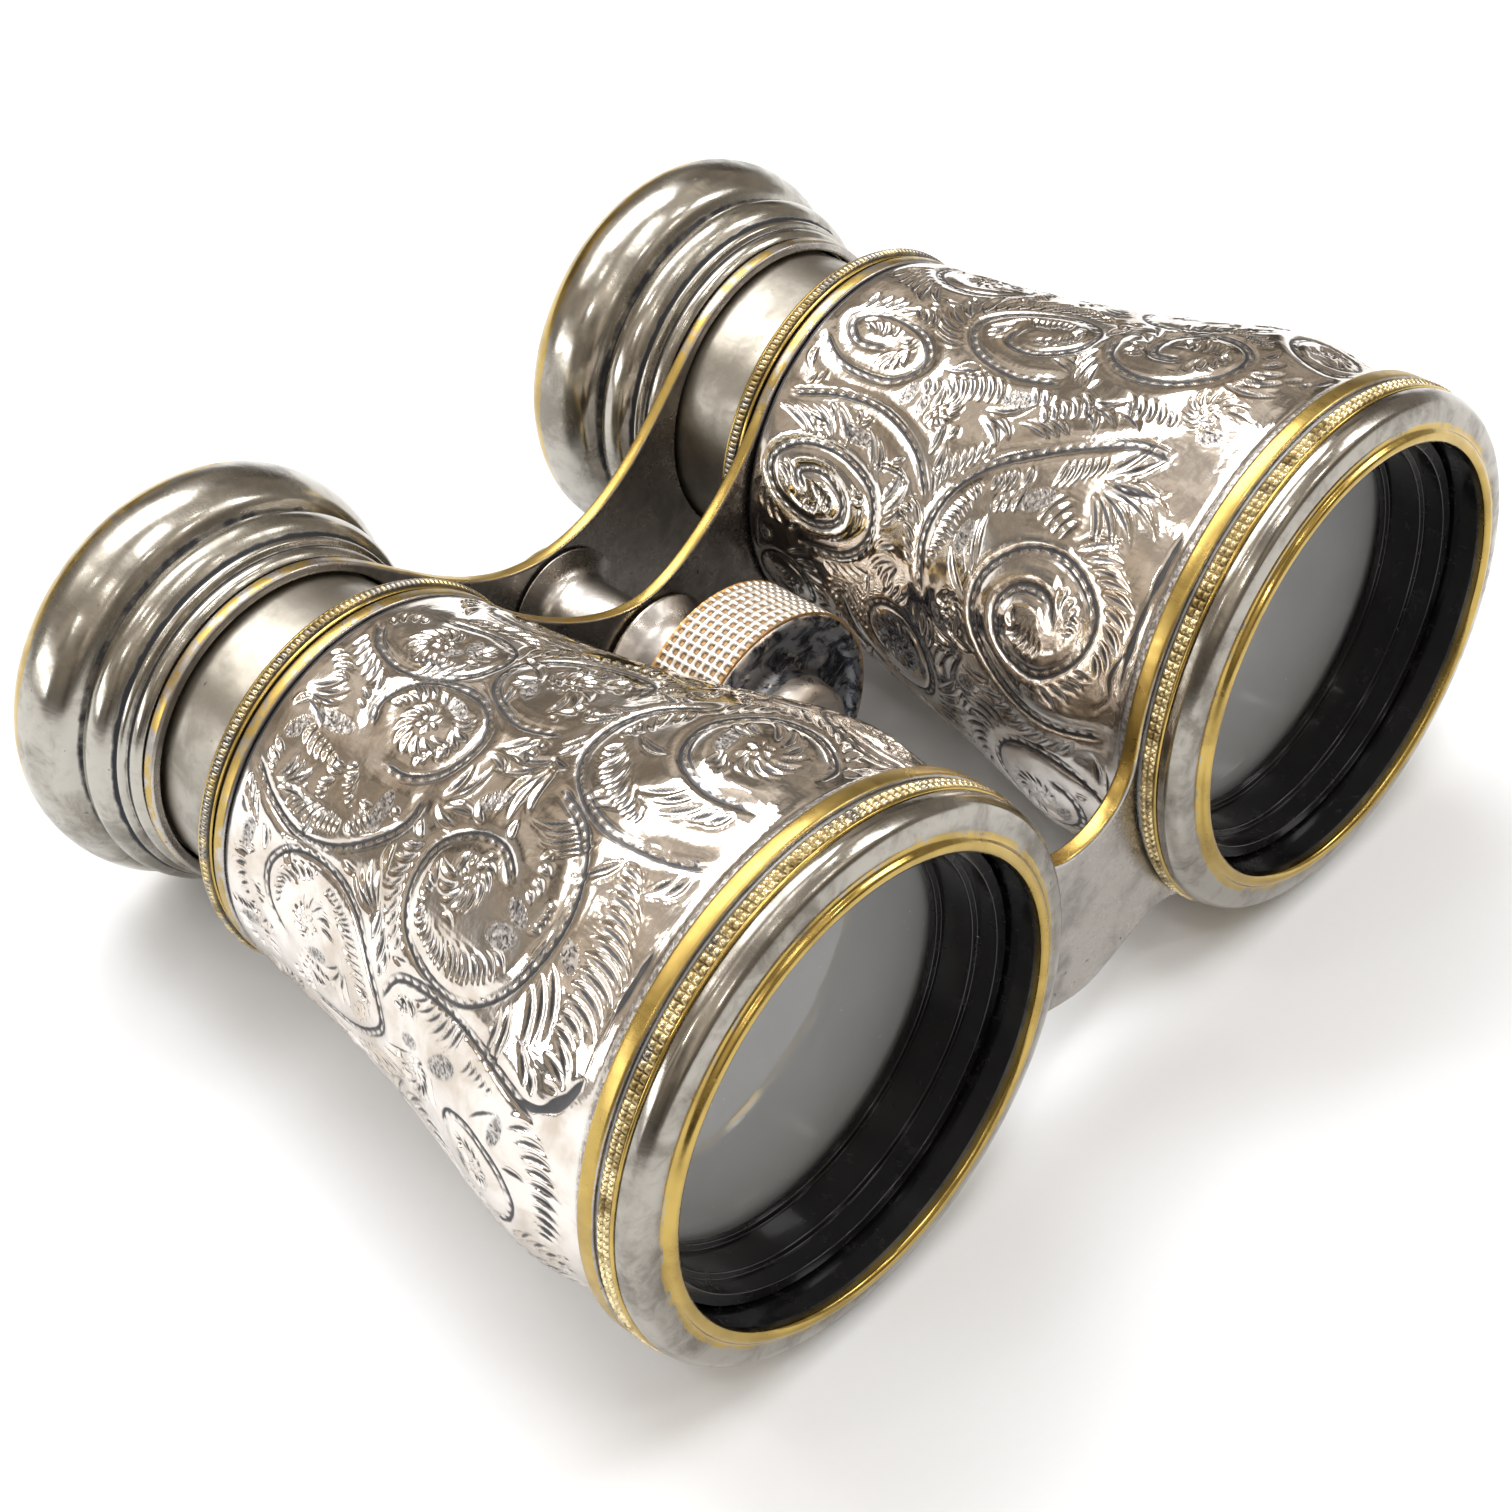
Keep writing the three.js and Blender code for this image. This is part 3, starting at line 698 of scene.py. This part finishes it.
LEFT_ROWS = [
    ([(110, 14.4), (120, 13.4), (130, 12.7), (143, 12.6)], -4.6),
    ([(125, 49.8), (131, 50.2), (137, 49.4)], -4.2),
    ([(150, 33.5), (143, 35), (135, 35.4), (127, 34.2)], -3.4),
    ([(96, 28), (103, 28.8), (110, 31), (116, 33)], 3.4),
    ([(157, 17), (164, 14), (174, 12.4), (187, 12.4)], -3.8), ([(192, 21), (193, 15), (200, 11)], -3.0),
    ([(109, 52.5), (116, 51), (121, 46)], 2.6), ([(152, 50.4), (160, 51.4), (170, 51)], 2.6),
]
LEFT_STIPPLES = [
    (132.5, 20, 1.9, 1.0, 80), (127, 38.6, 2.3, 1.0, 5), (163, 22.5, 2.4, 1.0, 60),
    (115, 48.5, 2.6, 1.0, 85), (165, 15.2, 1.5, 0.7, 20), (121, 51.5, 1.6, 0.8, 30),
    (112, 28.5, 1.9, 0.8, 50), (152, 52, 1.8, 0.8, 10),
]
LEFT_MOTIFS = [
    (206, 28, 6.0, 150, 1), (206, 46.5, 5.2, 20, -1), (222, 14.5, 5.2, 100, 1), (241, 38, 6.6, 0, -1),
    (262, 19.5, 6.6, 60, 1), (276, 47, 5.0, 180, -1), (298, 32, 6.2, 240, 1), (304, 14.5, 5.2, 20, -1),
    (331, 23, 6.6, 120, 1), (326, 46, 5.6, 300, -1), (3, 37.5, 6.6, 30, 1), (8, 14.5, 5.4, 200, -1),
    (36, 26, 6.4, 80, 1), (42, 46, 5.4, 10, -1), (44, 13, 4.6, 10, 1),
]
LEFT_STAINS = [
    ([(106, 8.1), (122, 8.2), (138, 8.5), (150, 8.8)], 0.42),
    ([(145, 8.6), (151, 9.6), (155.5, 11.6), (156, 14)], 0.95),
]
RIGHT_OUTLINES = [
    [(172, 8.8), (174, 14), (171, 20), (163, 24.4), (152, 24.6), (142.5, 21), (140.5, 16), (147, 12.4),
     (157, 12.6), (164.5, 16), (163, 20.5), (156, 22), (149.5, 20), (149, 16.8), (155, 15.6)],
    [(113, 12), (114, 16), (118, 20.5), (122, 24), (129, 28.5), (139, 31.6), (152, 32.6), (166, 31.5)],
    [(174, 48), (169, 42), (159, 39), (148, 40), (142.5, 45), (144.5, 50), (153, 52.8), (162, 51.4),
     (165.5, 47), (161, 43.4), (154, 43.2), (149.5, 46.2), (152.5, 49.2), (158, 48)],
    [(143, 33.5), (133, 37), (127, 42.5), (127.5, 48), (133, 53.5)],
    [(84, 27), (93, 25.5), (98, 21.5), (97, 17), (90, 14.2), (81, 14.5), (77, 18.5), (81, 22.4), (89, 22),
     (90, 18.6)],
    [(104, 27), (105.5, 32.5), (101, 38), (91, 40.5), (82, 38), (79, 33), (84, 29.2), (92, 29),
     (97, 32.4), (95, 36), (88, 36.4)],
    [(112, 54), (119, 50), (119, 44), (111, 41.5), (102, 44), (99, 49), (104, 52), (111, 50), (110, 46)],
]
RIGHT_CURLS = [
    (164, 27.8, 2.4, 100, 1), (101, 12.6, 3.0, 0, 1), (121, 37, 2.8, 40, -1),
]
RIGHT_PALMS = [
    (124, 17.5, 270, 120, 9, 7.2), (141, 35.5, 100, 90, 7, 5.0), (118, 33, 250, 110, 8, 5.5),
    (160, 34.5, 60, 80, 6, 4.4), (108, 24, 270, 70, 5, 5.0), (136, 51, 300, 60, 4, 4.0),
    (171, 25, 60, 70, 5, 5.0),
]
RIGHT_ROWS = [
    ([(84, 11.5), (94, 10.6), (104, 10.8)], 3.4), ([(139, 26), (136, 22), (138, 17)], -3.4),
    ([(108, 14), (111, 20), (116, 26)], 3.6), ([(112, 26.5), (116, 33), (119, 40)], 3.6),
    ([(104, 40), (111, 38), (118, 38)], -3.0), ([(128, 34), (122, 38), (120, 43)], 3.0),
    ([(146, 34.5), (156, 35.5), (166, 35)], 3.0),
]
RIGHT_STIPPLES = [
    (132, 22, 2.2, 0.9, 60), (112, 30, 2.0, 0.9, 80), (146, 28, 1.8, 0.8, 20), (136, 44, 2.2, 0.9, 95),
]
RIGHT_MOTIFS = [
    (64, 46, 5.6, 100, -1), (58, 24, 6.2, 0, 1), (186, 35, 5.8, 20, -1), (192, 50, 3.8, 80, 1),
    (198, 16, 6.0, 200, -1), (221, 37, 6.4, 30, 1), (238, 17.5, 6.0, 100, -1), (258, 45, 5.6, 0, 1),
    (270, 28, 6.2, 200, -1), (290, 14, 5.0, 60, 1), (303, 41, 6.4, 10, -1), (322, 22, 6.4, 200, 1),
    (342, 45.5, 5.4, 100, -1), (2, 30, 6.4, 30, 1), (8, 13.5, 4.6, 200, -1), (26, 46, 5.4, 0, 1),
    (32, 17, 5.6, 90, -1), (62, 11.5, 3.4, 0, 1),
]
RIGHT_STAINS = [
    ([(112, 8.1), (130, 8.2), (150, 8.4), (172, 8.2)], 0.5),
    ([(150, 8.4), (158, 9.4), (163, 9.2), (168, 10.4)], 0.5),
]


def chase(seed, outlines, curls, palms, rows, stipples, motifs, stains):
    """Chases one barrel: the main lines first, then their trimmings, and what is still plain last."""
    relief = Relief(seed)
    for points in outlines:
        relief.ribbon(line_through(points))
    for item in curls:
        relief.curl(*item)
    for item in stipples:
        relief.stipple(*item)
    for item in palms:
        relief.palm(*item)
    for points, length in rows:
        relief.comb(line_through(points), length, pitch=0.98, width=0.42, depth=0.17, offset=0.2)
    for points in outlines:
        relief.trim(line_through(points))
    for item in motifs:
        relief.motif(*item)
    relief.fill(FILL_TRIES)
    relief.finish()
    for points, thickness in stains:
        relief.stain(points, thickness)
    return relief


def barrel_radius(station):
    profile = smooth_curve(BARREL, 200)
    return np.interp(station, profile[:, 0], profile[:, 1])


def engraved_sheath(side, relief):
    node = f"{side}_engraved_sheath"
    radii = barrel_radius(relief.station)[:, None] + relief.height
    stations = np.linspace(LAST_ROW, FIRST_ROW, 12)
    lining = np.c_[barrel_radius(stations) - SHEATH, stations]
    pad = np.zeros(len(lining) * COLUMNS)
    lined_band(
        f"{node}_chased", radii, relief.station, lining, engraved, "frame", x=SIDES[side],
        replaced=[node], slot="engraved_silver", sharp=80,
        attributes={"cut": np.r_[relief.cut.ravel(), pad + 0.6], "matt": np.r_[relief.matt.ravel(), pad]},
    )


left_design = (LEFT_OUTLINES, LEFT_CURLS, LEFT_PALMS, LEFT_ROWS, LEFT_STIPPLES, LEFT_MOTIFS, LEFT_STAINS)
engraved_sheath("left", chase(3, *left_design))
right_design = (
    RIGHT_OUTLINES, RIGHT_CURLS, RIGHT_PALMS, RIGHT_ROWS, RIGHT_STIPPLES, RIGHT_MOTIFS, RIGHT_STAINS,
)
engraved_sheath("right", chase(8, *right_design))


# ---------- objective end ----------
BORE = 20.3  # radius of the objective cell's opening
BORE_FRONT = 0.9  # where the lacquer in the opening starts
LACQUER_BACK = 4.6  # everything behind this station is lacquered
BEAD_LINES = 13  # rows of points across a beaded band


def beaded_band(name, x, radius, stations, beads, depth, material, split=0.0, per_bead=7):
    """A knurled band: beads with grime between them, each pinched across its middle by split."""
    columns = beads * per_bead
    y = np.linspace(*stations, BEAD_LINES)
    a = np.arange(columns) * 2 * math.pi / columns
    row = np.linspace(0, 1, BEAD_LINES)
    across = np.sin(math.pi * row) ** 0.4 * (1 - split * bell(row, 0.5, 0.09))
    around = np.abs(np.sin(beads * a / 2)) ** 0.62
    bead = np.clip(across, 0, 1)[:, None] * around
    floor = radius - depth - 0.5
    grime = np.r_[np.clip(1 - bead.ravel() * 3.2, 0, 0.65), np.ones(2 * columns)]
    lined_band(
        name, radius - depth + depth * bead, y, [(floor, y[-1]), (floor, y[0])], material, "frame", x=x,
        slot="worn_brass", attributes={"cut": grime}, sharp=60,
    )


def objective_end(side, x):
    """The cell with its worn brass lip, the beads let into it, the solder line and the stepped ring."""
    corners = [
        (20.05, 0.30, 0.4, 1), (20.55, -0.02, 0.45, 1), (21.0, 0.10, 0.3, 1), (21.25, 0.52, 0.25, 0.8),
        (21.55, 0.66, 0.15, 0.55), (22.1, 0.60, 0.4, 0.33), (22.6, 0.68, 0.4), (23.5, 0.92, 0.9),
        (24.1, 1.95, 0.9), (24.05, 2.72, 0.3), (23.9, 2.80, 0.05, -0.3), (24.15, 2.86, 0.1, 0.9),
        (24.22, 3.1, 0.1, 1), (23.8, 3.14, 0.0, 0.5), (23.8, 4.4, 0.0, 0.3), (21.4, 4.45),
        (21.4, 9.6, 0.2), (21.0, 10), (21.0, 17.4), (17.65, 17.4), (17.65, 16.4), (BORE, 16.4, 0),
        (BORE, 1.3),
    ]
    blacken_bore(turned_node(f"{side}_objective_cell", corners, silver_ring, "frame", x=x, facets=192), x)
    knurl = f"{side}_objective_knurl"
    beaded_band(knurl, x, 24.4, (3.12, 4.42), 196, 0.32, knurl_brass, split=0.8, per_bead=8)
    solder = [(21.5, 4.4, 0, -1), (23.7, 4.4, 0.1, -0.3), (23.95, 4.6), (23.95, 4.78, 0), (21.5, 4.78, 0)]
    turned(f"{side}_solder_line", solder, lead, "frame", x=x, facets=160, slot="silver_plate")
    steps = [
        (18.9, 3.8, 0.12), (20.0, 3.8), (20.0, 9.6), (17.65, 9.6), (17.65, 9.0, 0.15), (18.27, 9.0),
        (18.27, 5.8, 0.15), (18.9, 5.8),
    ]
    turned_node(
        f"{side}_retaining_ring", steps, lacquer, "frame", x=x, facets=160,
        slot="black_lacquer", suffix="stepped",
    )


def blacken_bore(piece, x):
    """Gives the faces in the opening and behind the knurl the black lacquer."""
    piece.data.materials.append(lacquer)
    to_design = DESIGN.inverted()
    for face in piece.data.polygons:
        c = to_design @ face.center
        inside = math.hypot(c.x - x, c.z) < BORE + 0.01 and c.y > BORE_FRONT
        if inside or c.y > LACQUER_BACK:
            face.material_index = 1


for side, x in SIDES.items():
    objective_end(side, x)


# ---------- eye end ----------
def eye_end(side, x):
    """The end collar with its beads, the draw tube, and the stepped eyecup."""
    collar = [
        (16.8, 56.7, 0.05), (17.55, 56.7, 0.1, 0.6), (17.6, 57.0, 0.05, 0.6), (17.35, 57.05, 0.0, 0.4),
        (17.35, 57.95, 0.0, 0.4), (17.75, 58.0, 0.1, 0.75), (17.7, 58.3, 0.2, 0.6),
        (17.0, 58.55, 0.2, 0.1), (14.5, 58.6, 0.2, 0.1), (14.5, 57.6), (16.8, 57.6, 0.0),
    ]
    turned_node(f"{side}_end_collar", collar, silver, "frame", x=x, facets=160, slot="worn_brass")
    beaded_band(f"{side}_eye_knurl", x, 18.0, (57.02, 57.98), 206, 0.24, silvered_brass)
    tube = [(13.6, 44.5), (14.2, 44.5), (14.2, 70.8, 0), (13.6, 70.8, 0)]
    turned_node(f"{side}_draw_tube", tube, silver_tube, "carriage", x=x, suffix="drawn")
    cup = [
        (14.5, 69.1), (15.35, 69.1, 0.1, 0.3), (15.8, 69.5, 0.3, 0.1), (15.9, 70.1, 0.3),
        (15.7, 70.45, 0.12, -1), (15.85, 70.6, 0.08, -0.4), (16.3, 70.8, 0.2), (16.4, 71.2, 0.2),
        (16.3, 71.45, 0.05, -1), (17.3, 72.2, 0.9), (17.75, 73.5, 1.2), (17.35, 74.8, 0.8),
        (16.6, 75.25, 0.1, -1), (16.9, 75.5, 0.2, -0.6), (18.2, 76.1, 1.2), (19.3, 77.8, 2),
        (19.65, 80.0, 2, 0.2), (19.3, 82.0, 1.6, 0.62), (18.3, 83.4, 1.2, 0.35), (17.0, 83.6, 0.8, 0.1),
        (15.6, 82.6, 1.5), (12.6, 80.1, 2), (9.3, 78.7, 1), (8.3, 78.2, 0.2, 0.3), (8.3, 74.2),
        (6.9, 74.2), (6.9, 73.2), (13.0, 73.2), (14.5, 72),
    ]
    turned_node(f"{side}_eyecup", cup, silver_aged, "carriage", x=x, facets=192)


for side, x in SIDES.items():
    eye_end(side, x)


# ---------- bridge plates ----------
def web_edge(ring, middle_z, middle_reach, angle, ring_reach):
    """Half of a plate edge, from the middle to its tangent on the ring round the right-hand barrel."""
    side = math.copysign(1, angle)
    a = math.radians(abs(angle))
    end = np.array([SPACING / 2 - ring * math.cos(a), side * ring * math.sin(a)])
    pulled = end - ring_reach * np.array([math.sin(a), side * math.cos(a)])
    start = np.array([0, middle_z])
    handle = np.array([middle_reach, middle_z])
    t = np.linspace(0, 1, 24)[:, None]
    return (1 - t) ** 3 * start + 3 * t * (1 - t) ** 2 * handle + 3 * t**2 * (1 - t) * pulled + t**3 * end


def plate_outlines(ring, bore, top, bottom, hole):
    """The plate's edge, a bore at each barrel, and the gear's hole if there is one."""
    a = np.radians(np.linspace(180 - top[2], -180 - bottom[2], 120))[1:-1]
    arc = np.stack([SPACING / 2 + ring * np.cos(a), ring * np.sin(a)], 1)
    right = np.vstack([web_edge(ring, *top), arc, web_edge(ring, *bottom)[::-1]])
    left = right[1:-1][::-1] * [-1, 1]
    circle = np.radians(np.arange(128) * 360 / 128)
    round_hole = np.stack([np.cos(circle), np.sin(circle)], 1)
    outlines = [np.vstack([right, left])] + [round_hole * bore + [x, 0] for x in SIDES.values()]
    if hole:
        outlines.append(round_hole * hole + [0, GEAR_Z])
    return outlines


def filled_mesh(name, outlines, thickness, bevel):
    """A flat mesh with rounded edges, filled between its outlines."""
    curve = bpy.data.curves.new(name, "CURVE")
    curve.dimensions = "2D"
    curve.fill_mode = "BOTH"
    curve.extrude = thickness / 2 - bevel
    curve.bevel_depth = bevel
    curve.bevel_resolution = 3
    curve.offset = -bevel
    for outline in outlines:
        count = len(outline)
        spline = curve.splines.new("POLY")
        spline.points.add(count - 1)
        spline.points.foreach_set("co", np.c_[outline, np.zeros(count), np.ones(count)].ravel())
        spline.use_cyclic_u = True
    drawn = new_object(name, curve)
    bpy.context.view_layer.update()
    mesh = bpy.data.meshes.new_from_object(drawn.evaluated_get(bpy.context.evaluated_depsgraph_get()))
    bpy.data.objects.remove(drawn)
    return mesh


def bridge_plate(node, body, ring, bore, stations, top, bottom, bevel, hole=0.0, ring_wear=1.0):
    """A flat plate with rounded, brass-worn edges: a ring round each barrel and a web between them.

    top and bottom are the web's height and reach in the middle, and its angle and reach at the ring.
    """
    thickness = stations[1] - stations[0]
    mesh = filled_mesh(node, plate_outlines(ring, bore, top, bottom, hole), thickness, bevel)
    flat = np.array([v.co for v in mesh.vertices])
    faces = [tuple(p.vertices) for p in mesh.polygons]
    vertices = np.stack([flat[:, 0], sum(stations) / 2 - flat[:, 2], flat[:, 1]], 1)
    off_face = (thickness / 2 - np.abs(flat[:, 2])) / bevel
    on_ring = np.hypot(np.abs(flat[:, 0]) - SPACING / 2, flat[:, 1]) < ring + 0.1
    wear = np.clip(off_face * 1.6, 0, 1) * np.where(on_ring, ring_wear, 1)
    new_piece(
        f"{node}_plate", vertices, faces, silver_bridge, body, replaced=[node], slot="silver_plate",
        attributes={"wear": wear}, sharp=40,
    )


bridge_plate(
    "front_bridge", "frame", ring=24.38, bore=22.9, stations=(4.75, 6.4),
    top=(-0.8, 3.6, 12, 4), bottom=(-17.4, 4.5, -45, 6), bevel=0.35,
)
bridge_plate(
    "rear_bridge", "frame", ring=17.7, bore=16.8, stations=(55.1, 56.4),
    top=(0.1, 5.5, 37, 6), bottom=(-15.2, 6, -48, 6), bevel=0.3, hole=5.5, ring_wear=0.55,
)
bridge_plate(
    "eyepiece_bridge", "carriage", ring=15.5, bore=14.5, stations=(67.5, 68.8),
    top=(-0.4, 9.5, 52, 8), bottom=(-14.4, 6, -62, 7), bevel=0.3, hole=4.5, ring_wear=0.5,
)


# ---------- focusing gear ----------
def focus_wheel():
    """The wheel's turned body, and its square-knurled rim as a band of its own."""
    corners = [
        # Wear of 0.8 to 1 round the hub boss paints it light: a painted highlight. The rim's edges carry
        # rubbed wear.
        (1.8, 37.4), (3.3, 37.4), (3.3, 35.8, 0.15, 0.9), (4.7, 35.8, 0.6, 1), (5.6, 36.4, 0.6, 1),
        (5.8, 37.6, 0.5, 0.8), (6.0, 39.2, 0.5, 0.2), (6.6, 39.75, 0.3), (9.4, 39.6, 0.3),
        (10.0, 39.2, 0.3, 0.35), (11.0, 39.2, 0.3, 0.5), (11.3, 39.5, 0.1, 0.6), (11.1, 39.6, 0, 0.4),
        (11.1, 46.8, 0, 0.4), (11.3, 46.9, 0.1, 0.5), (11.0, 47.2, 0.3, 0.4), (10.1, 47.2, 0.2, 0.3),
        (10.1, 41.2, 0.4), (1.8, 41.2),
    ]
    turned_node(
        "focus_wheel", corners, mottled, "wheel", z=GEAR_Z, slot="tarnished_plate", suffix="body"
    )
    square_knurl("focus_wheel_rim", radius=11.5, stations=(39.55, 46.85), rows=8, around=74, depth=0.28)


def pit_shape(cells):
    """0 on the ridge between two cells and 1 on the flat floor of each."""
    return np.clip(np.sin(np.pi * (cells % 1)) * 2.2 - 0.75, 0, 1)


def square_knurl(name, radius, stations, rows, around, depth, per_cell=7):
    """A rim cut by rings and flutes, so that square pits stand between pale ridges."""
    columns = around * per_cell
    y = np.linspace(*stations, rows * per_cell + 1)
    row = np.linspace(0, rows, len(y))
    pit = pit_shape(row)[:, None] * pit_shape(np.arange(columns) / per_cell)
    edge = np.repeat(np.clip(1 - np.minimum(row, rows - row) / 0.5, 0, 1)[:, None], columns, 1)
    floor = radius - 0.42
    spare = np.zeros(2 * columns)
    lined_band(
        name, radius - depth * pit, y, [(floor, y[-1]), (floor, y[0])], rim_knurl, "wheel", z=GEAR_Z,
        slot="tarnished_plate", sharp=50,
        attributes={"cut": np.r_[pit.ravel(), spare], "wear": np.r_[edge.ravel(), spare + 1]},
    )


def gear_column():
    """The fixed housing, the sliding nut tube, its cap, and the screw in the hub."""
    housing = [
        (1.8, 41.5), (5.2, 41.5, 0.3), (5.2, 50.5, 1.5), (5.7, 53, 1), (6.9, 54.5, 0.4, 0.3),
        (6.9, 54.8, 0.1, 0.5), (5.2, 54.8, 0), (5.2, 56.7, 0.15, 0.4), (4.5, 56.7, 0.1, 0.2), (4.5, 42.8),
        (1.8, 42.8),
    ]
    turned_node("focus_housing", housing, silver_bridge, "frame", z=GEAR_Z, facets=80)
    nut = [
        (1.8, 53.4), (4.2, 53.4, 0.2), (4.2, 65.5, 0.6), (4.7, 66.3, 0.5), (6.4, 67.1, 0.3, 0.2),
        (6.4, 67.2, 0, 0.3), (4.2, 67.2, 0), (4.2, 69.9), (1.8, 69.9),
    ]
    turned_node("drive_nut", nut, silver_bridge, "carriage", z=GEAR_Z, facets=80)
    cap = [
        (0.001, 70.2, 0), (4.5, 70.2, 0), (4.5, 69.1, 0), (5.6, 69.1, 0.2, 0.6), (5.6, 70.2, 0.4, 0.6),
        (4.6, 71.3, 0.8, 0.1), (2.4, 72.05, 1.2), (0.001, 72.2, 0),
    ]
    turned_node("nut_cap", cap, silver, "carriage", z=GEAR_Z, facets=80)
    screw = [
        # Wear of 0.5 to 1 paints the screw head light in the tarnish material: a painted highlight.
        (0.001, 35.5, 0, 1), (1.6, 35.65, 0.5, 1), (2.7, 36.1, 0.4, 0.8), (2.9, 36.5, 0.2, 0.5),
        (2.9, 37.1, 0), (0.001, 37.1, 0),
    ]
    turned_node("wheel_screw", screw, mottled, "wheel", z=GEAR_Z, facets=64)


focus_wheel()
gear_column()


# ---------- CAD nodes that stay as they are ----------
KEPT = {
    "body_tube": lacquer, "light_baffle": lacquer, "guide_bush": felt, "eye_lens_ring": lacquer,
    "objective_crown_lens": crown_glass, "objective_flint_lens": flint_glass, "eye_lens": crown_glass,
}


def dress(node, material):
    mesh = frame["nodes"][node].data
    mesh.materials.clear()
    mesh.materials.append(material)


for side in SIDES:
    for part, material in KEPT.items():
        dress(f"{side}_{part}", material)
for node in ("focus_spindle", "spindle_collar"):
    dress(node, steel)


# ---------- studio ----------
FLOOR_REACH = 6.0  # metres from the middle to each side of the floor
PATCH = 312.5  # size of the room's bright patches, in thousandths of the way out to them


def floor_material():
    """Pale matt paper with the faintest fibre."""
    n = Surface("studio_paper", Roughness=0.9, Specular_IOR_Level=0.2)
    grain = n.noise(0.8, 4)
    color = n.mix(grain, (0.87, 0.905, 0.955), (0.89, 0.925, 0.97))
    return n.set(Base_Color=color, Normal=n.bump(grain, 0.01))


def studio_floor():
    square = [(x * FLOOR_REACH, y * FLOOR_REACH, 0) for x, y in ((-1, -1), (1, -1), (1, 1), (-1, 1))]
    mesh = bpy.data.meshes.new("studio_floor")
    mesh.from_pydata(square, [], [(0, 1, 2, 3)])
    mesh.materials.append(floor_material())
    new_object("studio_floor", mesh)


def towards(azimuth, elevation):
    """The direction from the object to a place round it, in degrees; azimuth 0 is the front, -Y."""
    a, e = math.radians(azimuth), math.radians(elevation)
    return Vector((math.sin(a) * math.cos(e), -math.cos(a) * math.cos(e), math.sin(e)))


def softbox(name, azimuth, elevation, distance, size, watts, color=(1, 1, 1)):
    """A rectangular lamp that looks at the object from a direction."""
    away = towards(azimuth, elevation)
    lamp = bpy.data.lights.new(name, "AREA")
    lamp.shape = "RECTANGLE"
    lamp.size, lamp.size_y = size
    lamp.energy = watts
    lamp.color = color
    holder = new_object(name, lamp)
    holder.location = Vector((0, 0, 0.02)) + away * distance
    holder.rotation_euler = away.to_track_quat("Z", "Y").to_euler()


def room_light():
    """A warm grey room round the table: brownish above, darker at eye level, with soft bright patches."""
    world = bpy.data.worlds.new("room")
    world.use_nodes = True
    bpy.context.scene.world = world
    n = Nodes(world.node_tree, "Generated")
    split = n.new("ShaderNodeSeparateXYZ")
    n.put(split.inputs[0], n.place)
    ramp = n.new("ShaderNodeValToRGB")
    stops = [
        (0.0, (0.5, 0.5, 0.5)), (0.50, (0.36, 0.34, 0.32)), (0.57, (0.21, 0.19, 0.165)),
        (0.68, (0.35, 0.295, 0.235)), (0.82, (0.61, 0.54, 0.455)), (1.0, (0.66, 0.595, 0.525)),
    ]
    while len(ramp.color_ramp.elements) < len(stops):
        ramp.color_ramp.elements.new(0.5)
    for element, (position, color) in zip(ramp.color_ramp.elements, stops, strict=True):
        element.position = position
        element.color = (*color, 1)
    n.put(ramp.inputs["Fac"], n.band(split.outputs["Z"], -1, 1, shape="LINEAR"))
    patches = n.band(n.noise(PATCH, 3, 0.5), 0.35, 0.65, 0.35, 1.7, shape="LINEAR")
    background = n.tree.nodes["Background"]
    n.put(background.inputs["Color"], n.mix(1, ramp.outputs["Color"], patches, method="MULTIPLY"))
    background.inputs["Strength"].default_value = 1.0


def studio_lamps():
    softbox("key_back_right", 160, 56, 1.3, (1.0, 0.60), 12)
    softbox("overhead", 20, 82, 1.3, (0.5, 0.3), 3)
    softbox("window_left", -118, 14, 1.6, (0.9, 0.35), 5)
    softbox("front_right", 62, 38, 1.5, (0.3, 0.5), 4)
    softbox("back_left", -157, 46, 1.4, (0.55, 0.42), 1.5)
    for k in range(8):
        softbox(f"lamp_{k}", -150 + 30 * k, 44 + 16 * (k % 2), 1.6, (0.10, 0.10), 0.8, (1, 0.97, 0.93))


def camera():
    """The photograph's view: from the front left, looking down at 45 degrees."""
    away = towards(azimuth=-44.37, elevation=44.87)
    roll = Matrix.Rotation(math.radians(-3.37), 3, "Z")
    target = Vector((-0.00703, -0.00712, 0.020))
    distance = 0.2406
    view = bpy.data.cameras.new("photo_camera")
    view.lens = 66.54
    view.sensor_width = 36
    view.clip_start = 0.01
    holder = new_object("photo_camera", view)
    holder.rotation_euler = (away.to_track_quat("Z", "Y").to_matrix() @ roll).to_euler()
    holder.location = target + away * distance
    bpy.context.scene.camera = holder


studio_floor()
room_light()
studio_lamps()
camera()
bpy.context.scene.view_settings.view_transform = "Standard"
